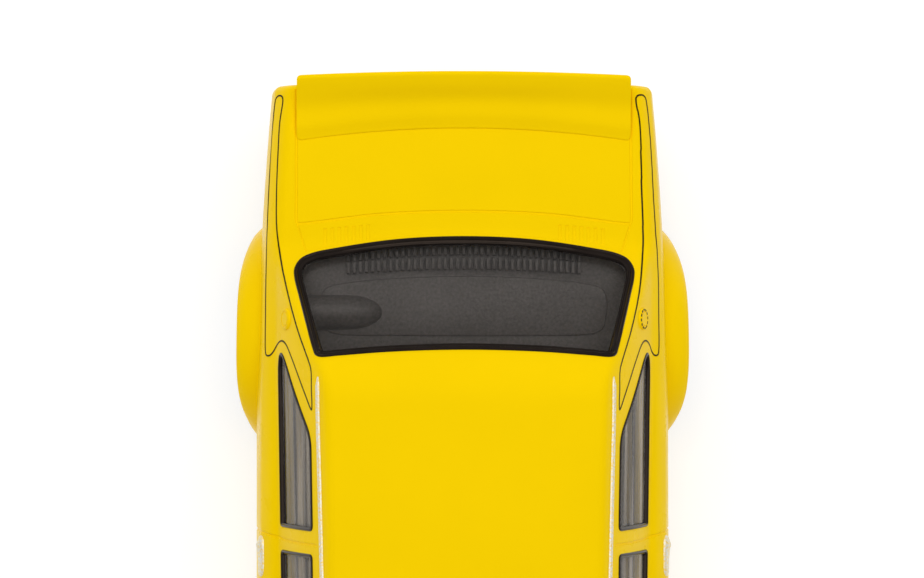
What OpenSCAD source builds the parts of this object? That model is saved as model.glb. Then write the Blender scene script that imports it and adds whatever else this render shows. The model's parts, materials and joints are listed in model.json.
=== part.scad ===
// Slot car: a two-door racing saloon body on a slot-racing chassis.
// Millimetres. The nose faces -Y, +Z is up and Z = 0 is the track under the tyres.
// The origin is on the centre plane, halfway between the nose and the tail panel.

/* [Body] */
// Width of the body shell across the doors
body_width = 49.6; // [48:0.2:60]
// Height of the middle of the roof above the track
roof_height = 41; // [39:0.5:50]
// Thickness of the moulded body wall
wall = 1.2; // [1:0.1:1.6]
// Height of the top of the doors
belt_height = 27.6; // [26:0.2:31]
// Height of the widest line along the doors
waist_height = 17; // [14:0.5:20]
// Height of the lower edge of the sills
sill_height = 4; // [3.5:0.1:6]
// Step in from the door's widest line to the nose, on each side
nose_taper = 2.4; // [0:0.1:4]
// Step in from the door's widest line to the tail, on each side
tail_taper = 2.1; // [0:0.1:4]
// Fall of the bonnet from the windscreen to the nose
bonnet_fall = 3.2; // [1:0.1:5]
// Fall of the boot lid from the rear window to the tail
boot_fall = 1.2; // [0:0.1:3]
// Rise of the lower edge from the wheels to the nose and to the tail
valance_rise = 4; // [2:0.1:5]
// Width of the sloping shoulder above the doors
shoulder_width = 3; // [2:0.1:4]
// Height of the sloping shoulder above the doors
shoulder_drop = 2.6; // [1.5:0.1:4]
// Height of the bulge of the top skin over its edges
skin_crown = 0.7; // [0.2:0.1:1.5]
// Rounding of the nose
nose_round = 2.7; // [1.5:0.1:4]
// Rounding of the tail
tail_round = 1.3; // [1:0.1:3]
// Width of the moulded shut lines
shut_line = 0.3; // [0.2:0.05:0.5]

/* [Cabin] */
// Distance from the tail panel to the foot of the rear window
boot_length = 17.2; // [14:0.2:24]
// Horizontal run of the rear window
rear_window_run = 16; // [12:0.2:22]
// Length of the roof
roof_length = 40.3; // [34:0.2:50]
// Horizontal run of the windscreen
windscreen_run = 13.5; // [10:0.2:18]
// Step in from the doors to the foot of the side windows
cabin_inset = 2.3; // [1.8:0.1:4]
// Lean of each side window from its foot to the roof
tumblehome = 5; // [3:0.1:7]
// Bulge of the roof over its edges
roof_crown = 1.2; // [0.6:0.1:2]
// Rounding of the roof's edge
roof_round = 1.6; // [1:0.1:2.5]
// Width of the pillar between the two side windows
pillar_width = 2.9; // [2:0.1:5]
// Distance from the roof's rear edge to the pillar between the side windows
pillar_setback = 21.7; // [18:0.1:26]
// Thickness of the clear moulding
glass_t = 0.8; // [0.6:0.1:1.2]

/* [Wheels] */
// Distance between the axles
wheelbase = 75; // [62:0.5:92]
// Distance from the front axle to the nose
front_overhang = 19.2; // [17:0.2:26]
// Distance from the rear axle to the tail panel
rear_overhang = 29.8; // [27:0.2:36]
// Diameter of the tyres
tyre_d = 19.2; // [17:0.1:24]
// Width of a rear tyre
rear_tyre_w = 8.5; // [6:0.1:9]
// Width of a front tyre
front_tyre_w = 7.2; // [5:0.1:8]
// Diameter of the wheel under the tyre
rim_d = 14; // [12:0.1:15]
// Diameter of the axles
axle_d = 2.38; // [2:0.01:3]
// Reach of the wheel-arch flares beyond the doors
flare_out = 3.1; // [1.5:0.1:4]
// Gap between a tyre and its arch
arch_gap = 1.3; // [1:0.1:2.5]
// Step in from the lip of a flare to the tyre's outer face
tyre_inset = 1.5; // [0.5:0.1:2.5]

/* [Drive] */
// Tooth size of the gears, as pitch diameter for each tooth
gear_module = 0.5; // [0.45:0.01:0.55]
// Teeth on the axle gear
gear_teeth = 33; // [29:2:35]
// Teeth on the motor pinion
pinion_teeth = 11; // [9:1:13]
// Width of the axle gear
gear_w = 3; // [2:0.1:4]
// Length of the motor can
can_length = 20; // [16:0.5:21]
// Length of the motor's plastic end bell
bell_length = 5; // [4:0.1:6]
// Width of the motor across its round sides
motor_width = 15.5; // [13:0.1:15.6]
// Height of the motor across its flats
motor_height = 12; // [10:0.1:12.6]
// Diameter of the motor shaft
shaft_d = 2; // [1.5:0.1:2.4]

/* [Chassis] */
// Gap under the chassis floor
ground_gap = 1.6; // [1.4:0.1:2.5]
// Thickness of the chassis floor
floor_t = 1.4; // [1.2:0.1:2]
// Distance from the front axle forward to the guide's pivot
guide_lead = 10.7; // [9:0.1:12]
// Depth of the guide blade below the track surface
blade_depth = 5.6; // [4:0.1:7]
// Thickness of the guide blade
blade_t = 1.8; // [1.2:0.1:2.4]
// Diameter of the guide's pivot post
guide_post_d = 4.8; // [4:0.1:6]
// Length of the traction magnet across the car
magnet_length = 22; // [16:0.5:24]
// Diameter of the tapping hole for a display screw
display_hole_d = 2.5; // [2:0.1:3.2]

/* [Fits] */
// Radial clearance of a shaft that turns in a bush
running_fit = 0.05; // [0.02:0.01:0.1]
// Radial clearance of a piece that is pressed on a shaft
press_fit = 0.01; // [0.005:0.005:0.03]
// Clearance between two moulded pieces that sit together
seat_fit = 0.15; // [0.1:0.01:0.25]
// Gap between fixed pieces and turning pieces
turning_gap = 0.4; // [0.3:0.05:0.6]

/* [Hidden] */
$fn = 48;

yellow = [0.98, 0.8, 0.02];
black = [0.08, 0.08, 0.085];
dark_grey = [0.2, 0.2, 0.21];
smoke = [0.25, 0.25, 0.26, 0.5];
clear = [0.85, 0.88, 0.9, 0.5];
steel = [0.66, 0.67, 0.69];
brass = [0.78, 0.62, 0.3];
copper = [0.72, 0.42, 0.24];
silver = [0.8, 0.8, 0.79];
rubber = [0.07, 0.07, 0.07];
white = [0.93, 0.93, 0.92];
red = [0.75, 0.05, 0.04];
blue = [0.1, 0.15, 0.4];

// Places along the car
body_length = front_overhang + wheelbase + rear_overhang;
nose_y = -body_length / 2;
tail_y = body_length / 2;
rear_axle_y = tail_y - rear_overhang;
front_axle_y = rear_axle_y - wheelbase;
axle_z = tyre_d / 2;
axle_r = axle_d / 2;
light_base_y = tail_y - boot_length;
roof_rear_y = light_base_y - rear_window_run;
roof_front_y = roof_rear_y - roof_length;
screen_base_y = roof_front_y - windscreen_run;
pillar_y = roof_rear_y - pillar_setback;

// Body section
body_half = body_width / 2;
cabin_half = body_half - cabin_inset;
roof_edge_z = roof_height - roof_crown - roof_round;
cabin_rise = roof_edge_z - belt_height;
sill_tuck = 1.6;
crease_lean = 0.6;
crease_height = belt_height - shoulder_drop;
taper_start = 20;
station_step = 4.5;
cavity_step = 9;
cabin_taper = 0.9;
cabin_barrel = 0.4;
corner_power = 14;
rear_bow_low = 3;
rear_bow_high = 0.9;
front_bow_low = 2.6;
front_bow_high = 1;
side_factor = 1 / cos(atan(tumblehome / cabin_rise));
rear_factor = 1 / sin(atan(cabin_rise / rear_window_run));
front_factor = 1 / sin(atan(cabin_rise / windscreen_run));
glass_inset = 0.25;
bubble_out = wall + seat_fit;
bubble_in = bubble_out + glass_t;
hollow_low = 0.6;
hollow_steps = 6;

// Wheels and arches
tyre_r = tyre_d / 2;
rim_r = rim_d / 2;
arch_r = tyre_r + arch_gap;
rear_out = half_width(rear_axle_y) + flare_out - tyre_inset;
front_out = half_width(front_axle_y) + flare_out - tyre_inset;
rear_in = rear_out - rear_tyre_w;
front_in = front_out - front_tyre_w;
axle_end_inset = 2.3;

// Bushes and drive, set out from the wheels inwards
bush_length = 2.8;
bush_r = axle_r + running_fit + 0.9;
bush_flange_r = bush_r + 0.5;
bush_flange_t = 0.6;
rear_bush_x = rear_in - turning_gap - bush_length;
front_bush_x = front_in - turning_gap - bush_length;
gear_x = rear_bush_x - turning_gap - gear_w;
gear_pitch_r = gear_module * gear_teeth / 2;
pinion_pitch_r = gear_module * pinion_teeth / 2;
gear_tip_r = gear_pitch_r + 0.64 * gear_module;
gear_spacing = gear_pitch_r + pinion_pitch_r + 0.04;
backlash = 0.16;
pressure_angle = 20;
motor_y = rear_axle_y - gear_spacing;
motor_z = axle_z;
boss_length = 1;
can_boss_r = 2.5;
bell_boss_r = 2.2;
can_x1 = gear_x - turning_gap - boss_length;
can_x0 = can_x1 - can_length;
bell_x0 = can_x0 - bell_length;
can_wall = 0.7;
shaft_r = shaft_d / 2;
armature_r = 4.6;
armature_length = 11;
armature_x = can_x0 + 4.5;
commutator_r = 1.9;
commutator_length = 2.8;
commutator_x = can_x0 - commutator_length - 0.2;
magnet_air_gap = 0.4;
terminal_y = motor_y - 5;
terminal_z = 2.5;

// Chassis
floor_z = ground_gap;
deck_z = floor_z + floor_t;
chassis_half = body_half - sill_tuck - wall - 2 * seat_fit;
chassis_nose_y = nose_y + wall + 1;
chassis_tail_y = tail_y - wall - 2.3;
wheel_pocket = tyre_r + arch_gap;
guide_y = front_axle_y - guide_lead;
guide_post_r = guide_post_d / 2;
guide_front = 6.5;
guide_back = 10.5;
guide_half = 4.6;
guide_sweep = norm([guide_back, guide_half]) + 0.5;
guide_plate_z = 0.7;
guide_plate_top = guide_plate_z + 1.6;
guide_ceiling = 3.1;
guide_boss_r = 4.6;
guide_boss_top = 8;
contact_t = 0.3;
contact_tab_x = 5.6;
post_r = 2.6;
boss_r = post_r + 0.5;
post_hole_r = 1.1;
screw_r = 0.95;
screw_head_r = 2;
post_foot_z = deck_z + 1;
front_post_y = front_axle_y + 8.3;
rear_post_x = 12;
rear_post_y = rear_axle_y + 17.8;
display_y = front_post_y + 6.5;
hatch_y = display_y + 15;
hatch_half_x = 11;
hatch_half_y = 9;
magnet_y = motor_y - 15.7;
magnet_w = 8;
magnet_t = 2.2;

// Interior
tray_top = belt_height - 1.6;
tray_half = cabin_half - bubble_in - 0.6;
tray_t = 1;
tub_floor = motor_z + motor_height / 2 - 3;
bench_floor = max(tyre_d, axle_z + gear_tip_r) + 1.2;
dash_y = screen_base_y + 6;
tub_end_y = motor_y - motor_width / 2 - 3.4;
shelf_y = roof_rear_y - 1;
shelf_end_y = light_base_y - 3.2;
driver_x = -9;
seat_y = pillar_y - 4.5;
cushion_t = 3.4;
cushion_top = tub_floor + tray_t + cushion_t;

function clamp(v) = min(1, max(0, v));
function ramp(from, to, v) = clamp((v - from) / (to - from));
function mix(a, b, t) = a + (b - a) * t;

// Half-width of the body at its widest line
function half_width(y) = body_half
    - nose_taper * pow(ramp(-taper_start, nose_y, y), 2)
    - tail_taper * pow(ramp(taper_start, tail_y, y), 2);

// Height of the edge of the top skin
function top_edge(y) = belt_height
    - bonnet_fall * pow(ramp(screen_base_y, nose_y, y), 1.6)
    - boot_fall * pow(ramp(light_base_y, tail_y, y), 1.4);

// Height of the lower edge of the body
function lower_edge(y) = sill_height
    + valance_rise * ramp(front_axle_y, nose_y, y)
    + valance_rise * ramp(rear_axle_y, tail_y, y);

// Half-width of a flank of half-width w at height z
function flank(w, z) = z < waist_height
    ? w - sill_tuck * pow((waist_height - z) / (waist_height - sill_height), 2)
    : w - crease_lean * pow((z - waist_height) / (crease_height - waist_height), 2);

// Half of a body section, inset by d, from its lower edge at z0 to the centre line
function half_section(y, d, z0, sides, tops) =
    let (w = half_width(y) - d,
        top = top_edge(y) - d,
        crease = top - shoulder_drop,
        edge = w - shoulder_width)
    concat(
        [for (k = [0:sides]) let (z = mix(z0, crease, k / sides)) [flank(w, z), z]],
        [[w - 0.6 * shoulder_width, top - 0.24 * shoulder_drop]],
        [for (k = [0:tops]) let (x = edge * (1 - k / tops)) [x, top + skin_crown * (1 - pow(x / edge, 2))]]);

// Closed section ring across the body at y, inset by d
function body_ring(y, d, z0, sides, tops) =
    let (half = half_section(y, d, z0, sides, tops), n = len(half))
    [for (k = [0:2 * n - 2]) let (p = k < n ? half[k] : half[2 * n - 2 - k])
        [k < n ? -p[0] : p[0], y, p[1]]];

// Closed outline of the cabin at height z, inset by d
function cabin_ring(z, d, extra, steps) =
    let (u = (z - belt_height) / cabin_rise,
        v = clamp(u),
        hx = cabin_half - tumblehome * u + cabin_barrel * sin(180 * v) - d * side_factor - extra,
        y0 = mix(screen_base_y, roof_front_y, u) + d * front_factor + extra,
        y1 = mix(light_base_y, roof_rear_y, u) - d * rear_factor - extra,
        front_bow = mix(front_bow_low, front_bow_high, v),
        rear_bow = mix(rear_bow_low, rear_bow_high, v),
        mid = (y0 + y1) / 2,
        hy = (y1 - y0) / 2)
    [for (k = [0:4 * steps - 1])
        let (side = floor(k / steps),
            t = 2 * (k % steps) / steps - 1,
            q = side == 0 ? [1, t] : side == 1 ? [-t, 1] : side == 2 ? [-1, -t] : [t, -1],
            p = q / pow(pow(abs(q[0]), corner_power) + pow(abs(q[1]), corner_power), 1 / corner_power),
            bow = p[1] > 0 ? -rear_bow : front_bow,
            y = mid + hy * p[1] + bow * pow(p[0] * p[1], 2),
            taper = cabin_taper * ramp(roof_rear_y, screen_base_y, y))
        [(hx - taper) * p[0], y, z]];

// Points of a smooth curve through the given points
function spline(p, steps) =
    let (n = len(p))
    concat(
        [for (i = [0:n - 2], k = [0:steps - 1])
            let (a = p[max(i - 1, 0)], b = p[i], c = p[i + 1], e = p[min(i + 2, n - 1)], t = k / steps)
            0.5 * (2 * b + (c - a) * t + (2 * a - 5 * b + 4 * c - e) * t * t
                + (3 * b - a - 3 * c + e) * t * t * t)],
        [p[n - 1]]);

function unit(v) = v / norm(v);

// Rings of a round tube of radius r along a level path
function tube_rings(path, r, sides) =
    let (n = len(path))
    [for (i = [0:n - 1])
        let (t = unit(path[min(i + 1, n - 1)] - path[max(i - 1, 0)]),
            u = unit(cross(t, [0, 0, 1])),
            v = cross(t, u))
        [for (k = [0:sides - 1]) path[i] + r * (cos(360 * k / sides) * u + sin(360 * k / sides) * v)]];

// Involute function of the angle at which a flank meets radius r, in degrees
function involute(base_r, r) =
    let (a = acos(min(1, base_r / r))) tan(a) * 180 / PI - a;

// Outline of a spur gear with a tooth on the +X axis
function gear_outline(teeth, tip_r, root_r) =
    let (pitch_r = gear_module * teeth / 2,
        base_r = pitch_r * cos(pressure_angle),
        half_pitch = 90 / teeth - backlash / pitch_r * 90 / PI / 2 + involute(base_r, pitch_r),
        low_r = max(base_r, root_r),
        flank_steps = 4)
    [for (i = [0:teeth - 1]) let (mid = 360 * i / teeth)
        each concat(
            [let (a = mid - half_pitch) root_r * [cos(a), sin(a)]],
            [for (k = [0:flank_steps]) let (r = mix(low_r, tip_r, k / flank_steps),
                a = mid - half_pitch + involute(base_r, r)) r * [cos(a), sin(a)]],
            [for (k = [flank_steps:-1:0]) let (r = mix(low_r, tip_r, k / flank_steps),
                a = mid + half_pitch - involute(base_r, r)) r * [cos(a), sin(a)]],
            [let (a = mid + half_pitch) root_r * [cos(a), sin(a)]])];

// Closed skin over a row of rings that have the same number of points
module skin(rings) {
    n = len(rings[0]);
    m = len(rings);
    faces = [for (i = [0:m - 2], j = [0:n - 1]) let (a = i * n + j, b = i * n + (j + 1) % n)
        each [[a, b + n, b], [a, a + n, b + n]]];
    first = [for (j = [0:n - 1]) j];
    last = [for (j = [n - 1:-1:0]) (m - 1) * n + j];
    polyhedron([for (ring = rings) each ring], concat([first], faces, [last]), convexity = 8);
}

// Turns a piece that is drawn along Z so that it runs along X, with its X on Y and its Y on Z
module along_x() {
    rotate([90, 0, 90]) children();
}

module both_sides() {
    children();
    mirror([1, 0, 0]) children();
}

// Round bar along X between two places
module bar_x(x0, x1, r) {
    translate([x0, 0, 0]) along_x() cylinder(r = r, h = x1 - x0);
}

// Ring-shaped bar along X between two places
module ring_x(x0, x1, r, bore) {
    difference() {
        bar_x(x0, x1, r);
        bar_x(x0 - 1, x1 + 1, bore);
    }
}

// Block between two corners
module block(low, high) {
    translate(low) cube(high - low);
}

// Chain of round strokes through the points of a flat line
module stroke(points, r) {
    for (k = [0:len(points) - 2]) {
        hull() {
            translate(points[k]) circle(r, $fn = 6);
            translate(points[k + 1]) circle(r, $fn = 6);
        }
    }
}

// Solid below the belt, inset by d, open downwards when it is a cavity
module lower_solid(d, step, cavity = false) {
    round_steps = 4;
    z_cut = -4;
    front = nose_y + d;
    rear = tail_y - d;
    nose_r = max(0.6, nose_round - d);
    tail_r = max(0.6, tail_round - d);
    count = ceil((rear - tail_r - front - nose_r) / step);
    sides = cavity ? 4 : 5;
    tops = cavity ? 3 : 5;
    ends_front = [for (k = [0:round_steps - 1]) let (a = 90 * k / round_steps)
        [front + nose_r * (1 - cos(a)), nose_r * (1 - sin(a))]];
    middle = [for (k = [0:count]) [mix(front + nose_r, rear - tail_r, k / count), 0]];
    ends_rear = [for (k = [round_steps - 1:-1:0]) let (a = 90 * k / round_steps)
        [rear - tail_r * (1 - cos(a)), tail_r * (1 - sin(a))]];
    skin([for (s = concat(ends_front, middle, ends_rear))
        body_ring(s[0], d + s[1], cavity ? z_cut : lower_edge(s[0]), sides, tops)]);
}

// Solid of the cabin above the belt, inset by d
module cabin_solid(d, low = 0.22, steps = 9) {
    levels = 5;
    top = roof_edge_z - d;
    round_steps = 3;
    crown_rings = [0.7, 0.4, 0.06];
    edge = [for (k = [1:round_steps]) let (a = 90 * k / round_steps)
        cabin_ring(top + roof_round * sin(a), d, roof_round * (1 - cos(a)), steps)];
    cap = edge[round_steps - 1];
    centre_y = (cap[0][1] + cap[2 * steps - 1][1]) / 2;
    foot = belt_height - low * cabin_rise;
    skin(concat(
        [for (k = [0:levels]) cabin_ring(mix(foot, top, k / levels), d, 0, steps)],
        edge,
        [for (s = crown_rings) [for (p = cap)
            [p[0] * s, mix(centre_y, p[1], s), p[2] + roof_crown * (1 - s * s)]]]));
}

// Plan outline of a front or rear window: v runs outwards from the roof edge
module end_window_plan(foot_half, foot_v, foot_bow, head_half, head_v, head_bow) {
    foot_r = 2.6;
    head_r = 1;
    tip_r = 0.4;
    difference() {
        hull() {
            for (side = [-1, 1]) {
                translate([side * (foot_half - foot_r), foot_v - foot_bow - foot_r]) circle(foot_r, $fn = 20);
                translate([side * foot_half / 2, foot_v - foot_bow / 4 - tip_r]) circle(tip_r, $fn = 8);
                translate([side * (head_half - head_r), head_v - head_bow + head_r]) circle(head_r, $fn = 12);
            }
            translate([0, foot_v - tip_r]) circle(tip_r, $fn = 8);
        }
        hull() {
            for (t = [-1:1 / 3:1]) {
                translate([t * head_half, head_v - head_bow * t * t - tip_r]) circle(tip_r, $fn = 6);
            }
        }
    }
}

module rear_window_plan() {
    translate([0, roof_rear_y]) {
        end_window_plan(cabin_half - 2.2, rear_window_run - 1.5, 2.2,
            cabin_half - tumblehome + 0.2, 0.7, 0.8);
    }
}

module windscreen_plan() {
    translate([0, roof_front_y]) mirror([0, 1]) {
        end_window_plan(cabin_half - cabin_taper - 2, windscreen_run - 1.3, 2,
            cabin_half - tumblehome - cabin_taper + 0.2, 0.7, 0.8);
    }
}

// Side view of a window with four rounded corners
module side_window(corners) {
    corner_r = 0.6;
    hull() {
        for (c = corners) {
            translate(c) circle(corner_r, $fn = 12);
        }
    }
}

module quarter_window_view() {
    foot = belt_height + 1.4;
    head = roof_edge_z - 1.7;
    front = pillar_y + pillar_width / 2 + 0.6;
    side_window([[front, foot], [front, head], [roof_rear_y - 9.2, head], [roof_rear_y - 0.6, foot]]);
}

module door_window_view() {
    foot = belt_height + 1.4;
    head = roof_edge_z - 1.7;
    rear = pillar_y - pillar_width / 2 - 0.6;
    side_window([[rear, foot], [rear, head], [roof_front_y + 2, head], [screen_base_y + 5, foot]]);
}

// All window openings as prisms, made smaller all round by the given gap
module window_prisms(gap) {
    reach = body_half + 5;
    translate([0, 0, belt_height - 1]) linear_extrude(roof_height) {
        offset(delta = -gap) {
            rear_window_plan();
            windscreen_plan();
        }
    }
    both_sides() {
        translate([cabin_half / 2, 0, 0]) along_x() linear_extrude(reach) {
            offset(delta = -gap) {
                quarter_window_view();
                door_window_view();
            }
        }
    }
}

// Flare around a wheel on the right side, before its arch is cut
module flare(axle_y, rear_reach, front_reach) {
    turns = 14;
    steps = 4;
    inner = arch_r - 1;
    foot_r = arch_r + 1.5;
    foot_rear = asin((lower_edge(axle_y + foot_r) - axle_z) / foot_r);
    foot_front = 180 - asin((lower_edge(axle_y - foot_r) - axle_z) / foot_r);
    skin([for (i = [0:turns])
        let (a = mix(foot_rear, foot_front, i / turns),
            ahead = (1 - cos(a)) / 2,
            outer = arch_r + mix(rear_reach, front_reach, ahead),
            wide = half_width(axle_y + arch_r * cos(a)),
            fade = mix(0.45, 0.75, ahead) * pow(abs(cos(a)), 4),
            lip = wide + flare_out * (1 - fade),
            foot = wide - 2.2)
        concat(
            [for (k = [0:steps]) let (t = k / steps, r = mix(inner, outer, t))
                [mix(lip, foot, pow(t, 2.4)), axle_y + r * cos(a), axle_z + r * sin(a)]],
            [for (r = [outer, inner]) [wide - 4, axle_y + r * cos(a), axle_z + r * sin(a)]])]);
}

// Wheel opening on the right side, wider behind the lip of the flare
module wheel_opening(axle_y) {
    depth = 12;
    x0 = body_half - depth;
    lip_x = half_width(axle_y) + 0.2;
    translate([0, axle_y, axle_z]) {
        bar_x(x0, body_half + depth, arch_r);
        bar_x(x0, lip_x, arch_r + 0.9);
    }
}

// Drip rail along the right side of the roof, a square bar laid in on its edge
module drip_rail() {
    r = 0.4;
    steps = 4;
    sides = 4;
    x = cabin_half - tumblehome + 0.36;
    bow = 0.14;
    path = [for (k = [0:steps]) let (t = k / steps, y = mix(roof_rear_y - 2.4, roof_front_y + 1, t))
        [x + bow * sin(180 * t) - cabin_taper * ramp(roof_rear_y, screen_base_y, y), y, roof_edge_z - 0.75]];
    skin(tube_rings(path, r, sides));
}

// Plan of the shut lines of the boot lid and the bonnet
module lid_lines() {
    lid_half = tail_half_lid();
    lid_front = light_base_y + 1.9;
    lid_bow = 1.4;
    bonnet_half = half_width(front_axle_y) - shoulder_width - 0.6;
    bonnet_rear = screen_base_y - 1.6;
    arc = [for (k = [-3:3]) [k / 3 * lid_half, lid_front - lid_bow * pow(k / 3, 2)]];
    stroke(concat([[-lid_half, tail_y]], arc, [[lid_half, tail_y]]), shut_line / 2);
    rear_arc = [for (k = [-3:3]) [k / 3 * bonnet_half, bonnet_rear + 1.6 * pow(k / 3, 2)]];
    stroke(concat([[-bonnet_half + 1.5, nose_y]], rear_arc, [[bonnet_half - 1.5, nose_y]]), shut_line / 2);
}

function tail_half_lid() = half_width(tail_y) - 2.7;

// Side view of the door's shut lines
module door_lines() {
    rear = pillar_y + pillar_width / 2;
    front = screen_base_y + 6;
    foot = sill_height + 2.37;
    head = belt_height - 0.45;
    stroke([[rear, head], [rear, foot + 4], [rear - 2, foot], [front + 1, foot],
        [front, foot + 2], [front - 0.6, crease_height], [front, head]], shut_line / 2);
}

// Narrow slots side by side in the panel ahead of the boot lid
module deck_louvres() {
    slots = 7;
    pitch = 0.82;
    length = 1.7;
    both_sides() {
        for (k = [0:slots - 1]) {
            x = 11.3 + k * pitch;
            y = light_base_y - rear_bow_low * pow(x / cabin_half, 2) - 0.2;
            translate([x, y, belt_height + 0.1]) linear_extrude(4) {
                hull() {
                    circle(0.16, $fn = 6);
                    translate([0, length]) circle(0.16, $fn = 6);
                }
            }
        }
    }
}

// Round raised cap on the rear pillar, painted with the body
module pillar_cap() {
    z = belt_height + 2.4;
    u = (z - belt_height) / cabin_rise;
    x = cabin_half - tumblehome * u + cabin_barrel * sin(180 * u);
    lean = atan(tumblehome / cabin_rise);
    translate([x - 0.6, rear_axle_y + 1.6, z]) rotate([0, 90 - lean, 0]) {
        cylinder(r = 1.35, h = 0.95, $fn = 20);
    }
}

// Moulded door handle on the crease
module door_handle() {
    x = half_width(pillar_y) - crease_lean - 0.4;
    hull() {
        for (y = [pillar_y - 4, pillar_y + 0.4]) {
            translate([x, y, crease_height - 0.6]) sphere(0.75, $fn = 10);
        }
    }
}

module mirror_holes() {
    both_sides() translate([mirror_x(), mirror_y(), belt_height - 6]) {
        cylinder(r = mirror_peg_r + seat_fit, h = 9, $fn = 14);
    }
}

mirror_peg_r = 0.8;
function mirror_x() = half_width(screen_base_y) - 0.6 * shoulder_width;
function mirror_y() = screen_base_y + 6.5;

// Screw posts under the bonnet and the boot lid, open at the foot
module body_posts() {
    places = [[0, front_post_y], [rear_post_x, rear_post_y], [-rear_post_x, rear_post_y]];
    difference() {
        intersection() {
            for (p = places) {
                translate([p[0], p[1], post_foot_z + seat_fit]) {
                    cylinder(r = post_r, h = belt_height, $fn = 16);
                }
            }
            lower_solid(wall / 2, cavity_step, true);
        }
        for (p = places) {
            translate([p[0], p[1], post_foot_z - 1]) cylinder(r = post_hole_r, h = 13, $fn = 14);
        }
    }
}

// Opening of the nose for the grille panel
module grille_opening(gap) {
    corner_r = 1.2;
    half = [half_width(nose_y) - 3 - gap - corner_r, grille_half() - gap - corner_r];
    translate([0, nose_y + wall + 2.5, grille_mid()]) rotate([90, 0, 0]) linear_extrude(wall + 6) {
        offset(r = corner_r, $fn = 24) square(2 * half, center = true);
    }
}

function grille_mid() = top_edge(nose_y) - nose_round - 4.1;
function grille_half() = 3.7;
function lamp_x() = half_width(nose_y) - 6.9;
lamp_hole_r = 3.1;

module tail_lamp_recess(gap, depth) {
    half = [4.2 - gap, 1.7 - gap];
    both_sides() {
        translate([half_width(tail_y) - 7, tail_y - depth, top_edge(tail_y) - 6.6]) {
            block([-half[0], 0, -half[1]], [half[0], 4, half[1]]);
        }
    }
}

// The moulded shell: outer form, hollow, openings, arches, lines and posts
module body_shell() {
    groove = 0.3;
    color(yellow) {
        difference() {
            union() {
                lower_solid(0, station_step);
                cabin_solid(0);
                both_sides() {
                    flare(rear_axle_y, 3.9, 2.6);
                    flare(front_axle_y, 2.9, 2.6);
                    drip_rail();
                    pillar_cap();
                    door_handle();
                }
            }
            difference() {
                union() {
                    lower_solid(wall, cavity_step, true);
                    cabin_solid(wall, hollow_low, hollow_steps);
                }
                body_posts();
            }
            both_sides() {
                wheel_opening(rear_axle_y);
                wheel_opening(front_axle_y);
            }
            window_prisms(0);
            intersection() {
                difference() {
                    lower_solid(-0.5, cavity_step);
                    lower_solid(groove, station_step);
                }
                union() {
                    translate([0, 0, crease_height]) linear_extrude(roof_height) lid_lines();
                    both_sides() translate([body_half / 2, 0, 0]) along_x() {
                        linear_extrude(body_half) door_lines();
                    }
                }
            }
            deck_louvres();
            mirror_holes();
            grille_opening(0);
            tail_lamp_recess(0, 0.6);
            block([-body_half - 9, nose_y - 9, -9], [body_half + 9, tail_y + 9, sill_height]);
        }
    }
}

// Ducktail spoiler on the boot lid: a side profile carried across the car on a bow
module boot_spoiler() {
    half = tail_half_lid() - 0.1;
    steps = 12;
    color(yellow) {
        skin([for (k = [0:steps])
            let (t = mix(1, -1, k / steps),
                x = half * t,
                front = tail_y - 5.4 - 1.5 * t * t,
                lip = tail_y + 1.1 - 0.5 * t * t,
                crown = skin_crown * (1 - t * t) + seat_fit,
                foot = top_edge(front) + crown,
                deck = top_edge(tail_y) + crown,
                profile = [[front, foot], [front, foot + 0.3], [front + 1.2, foot + 0.65],
                    [mix(front, lip, 0.55), deck + 1.55], [lip - 0.5, deck + 2.7], [lip - 0.1, deck + 2.7],
                    [lip, deck + 2.4], [lip - 0.3, deck + 1.5], [tail_y - 0.9, deck + 0.1]])
            [for (p = profile) [x, p[0], p[1]]]]);
    }
}

// Deep chin under the nose, bowed in plan
module front_air_dam() {
    half = half_width(nose_y) - 0.4;
    steps = 12;
    color(yellow) {
        skin([for (k = [0:steps])
            let (t = mix(-1, 1, k / steps),
                foot = 2.9,
                face = nose_y + 2.2 * pow(abs(t), 3),
                head = lower_edge(face + 0.3) - seat_fit,
                back = lower_edge(face + 1.5) - seat_fit,
                profile = [[face + 0.3, head], [face - 0.5, head - 2.2], [face - 1.2, foot + 0.5],
                    [face - 1.2, foot], [face + 0.4, foot], [face + 1.5, back - 2], [face + 1.5, back]])
            [for (p = profile) [half * t, p[0], p[1]]]]);
    }
}

// Black nose panel with slats and two lamp holes
module grille() {
    panel_t = 1.2;
    depth = 0.7;
    slats = 6;
    half = half_width(nose_y) - 3;
    slat_half = lamp_x() - lamp_hole_r - 0.6;
    border = 0.7;
    pitch = 2 * (grille_half() - border) / slats;
    color(black) {
        difference() {
            intersection() {
                grille_opening(seat_fit);
                translate([0, nose_y + depth, 0]) block([-half, 0, 0], [half, panel_t, roof_height]);
            }
            for (k = [0:slats - 1]) {
                z = grille_mid() - grille_half() + border + (k + 0.5) * pitch;
                block([-slat_half, nose_y, z - 0.3 * pitch],
                    [slat_half, nose_y + depth + 0.6, z + 0.3 * pitch]);
            }
            both_sides() {
                translate([lamp_x(), nose_y - 1, grille_mid()]) rotate([-90, 0, 0]) {
                    cylinder(r = lamp_hole_r, h = 6);
                }
            }
        }
    }
}

// Places a piece drawn along Z at both lamps, with its Z on -Y
module at_lamps() {
    both_sides() translate([lamp_x(), nose_y, grille_mid()]) rotate([90, 0, 0]) children();
}

module headlamp_reflectors() {
    r = lamp_hole_r - seat_fit;
    color(silver) at_lamps() {
        rotate_extrude() {
            polygon([[0, -2.6], [1.2, -2.5], [2.1, -1.9], [r - 0.3, -0.7], [r, -0.7], [r, -1.2], [2.5, -2.3],
                [1.4, -3], [0, -3.1]]);
        }
    }
}

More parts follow.
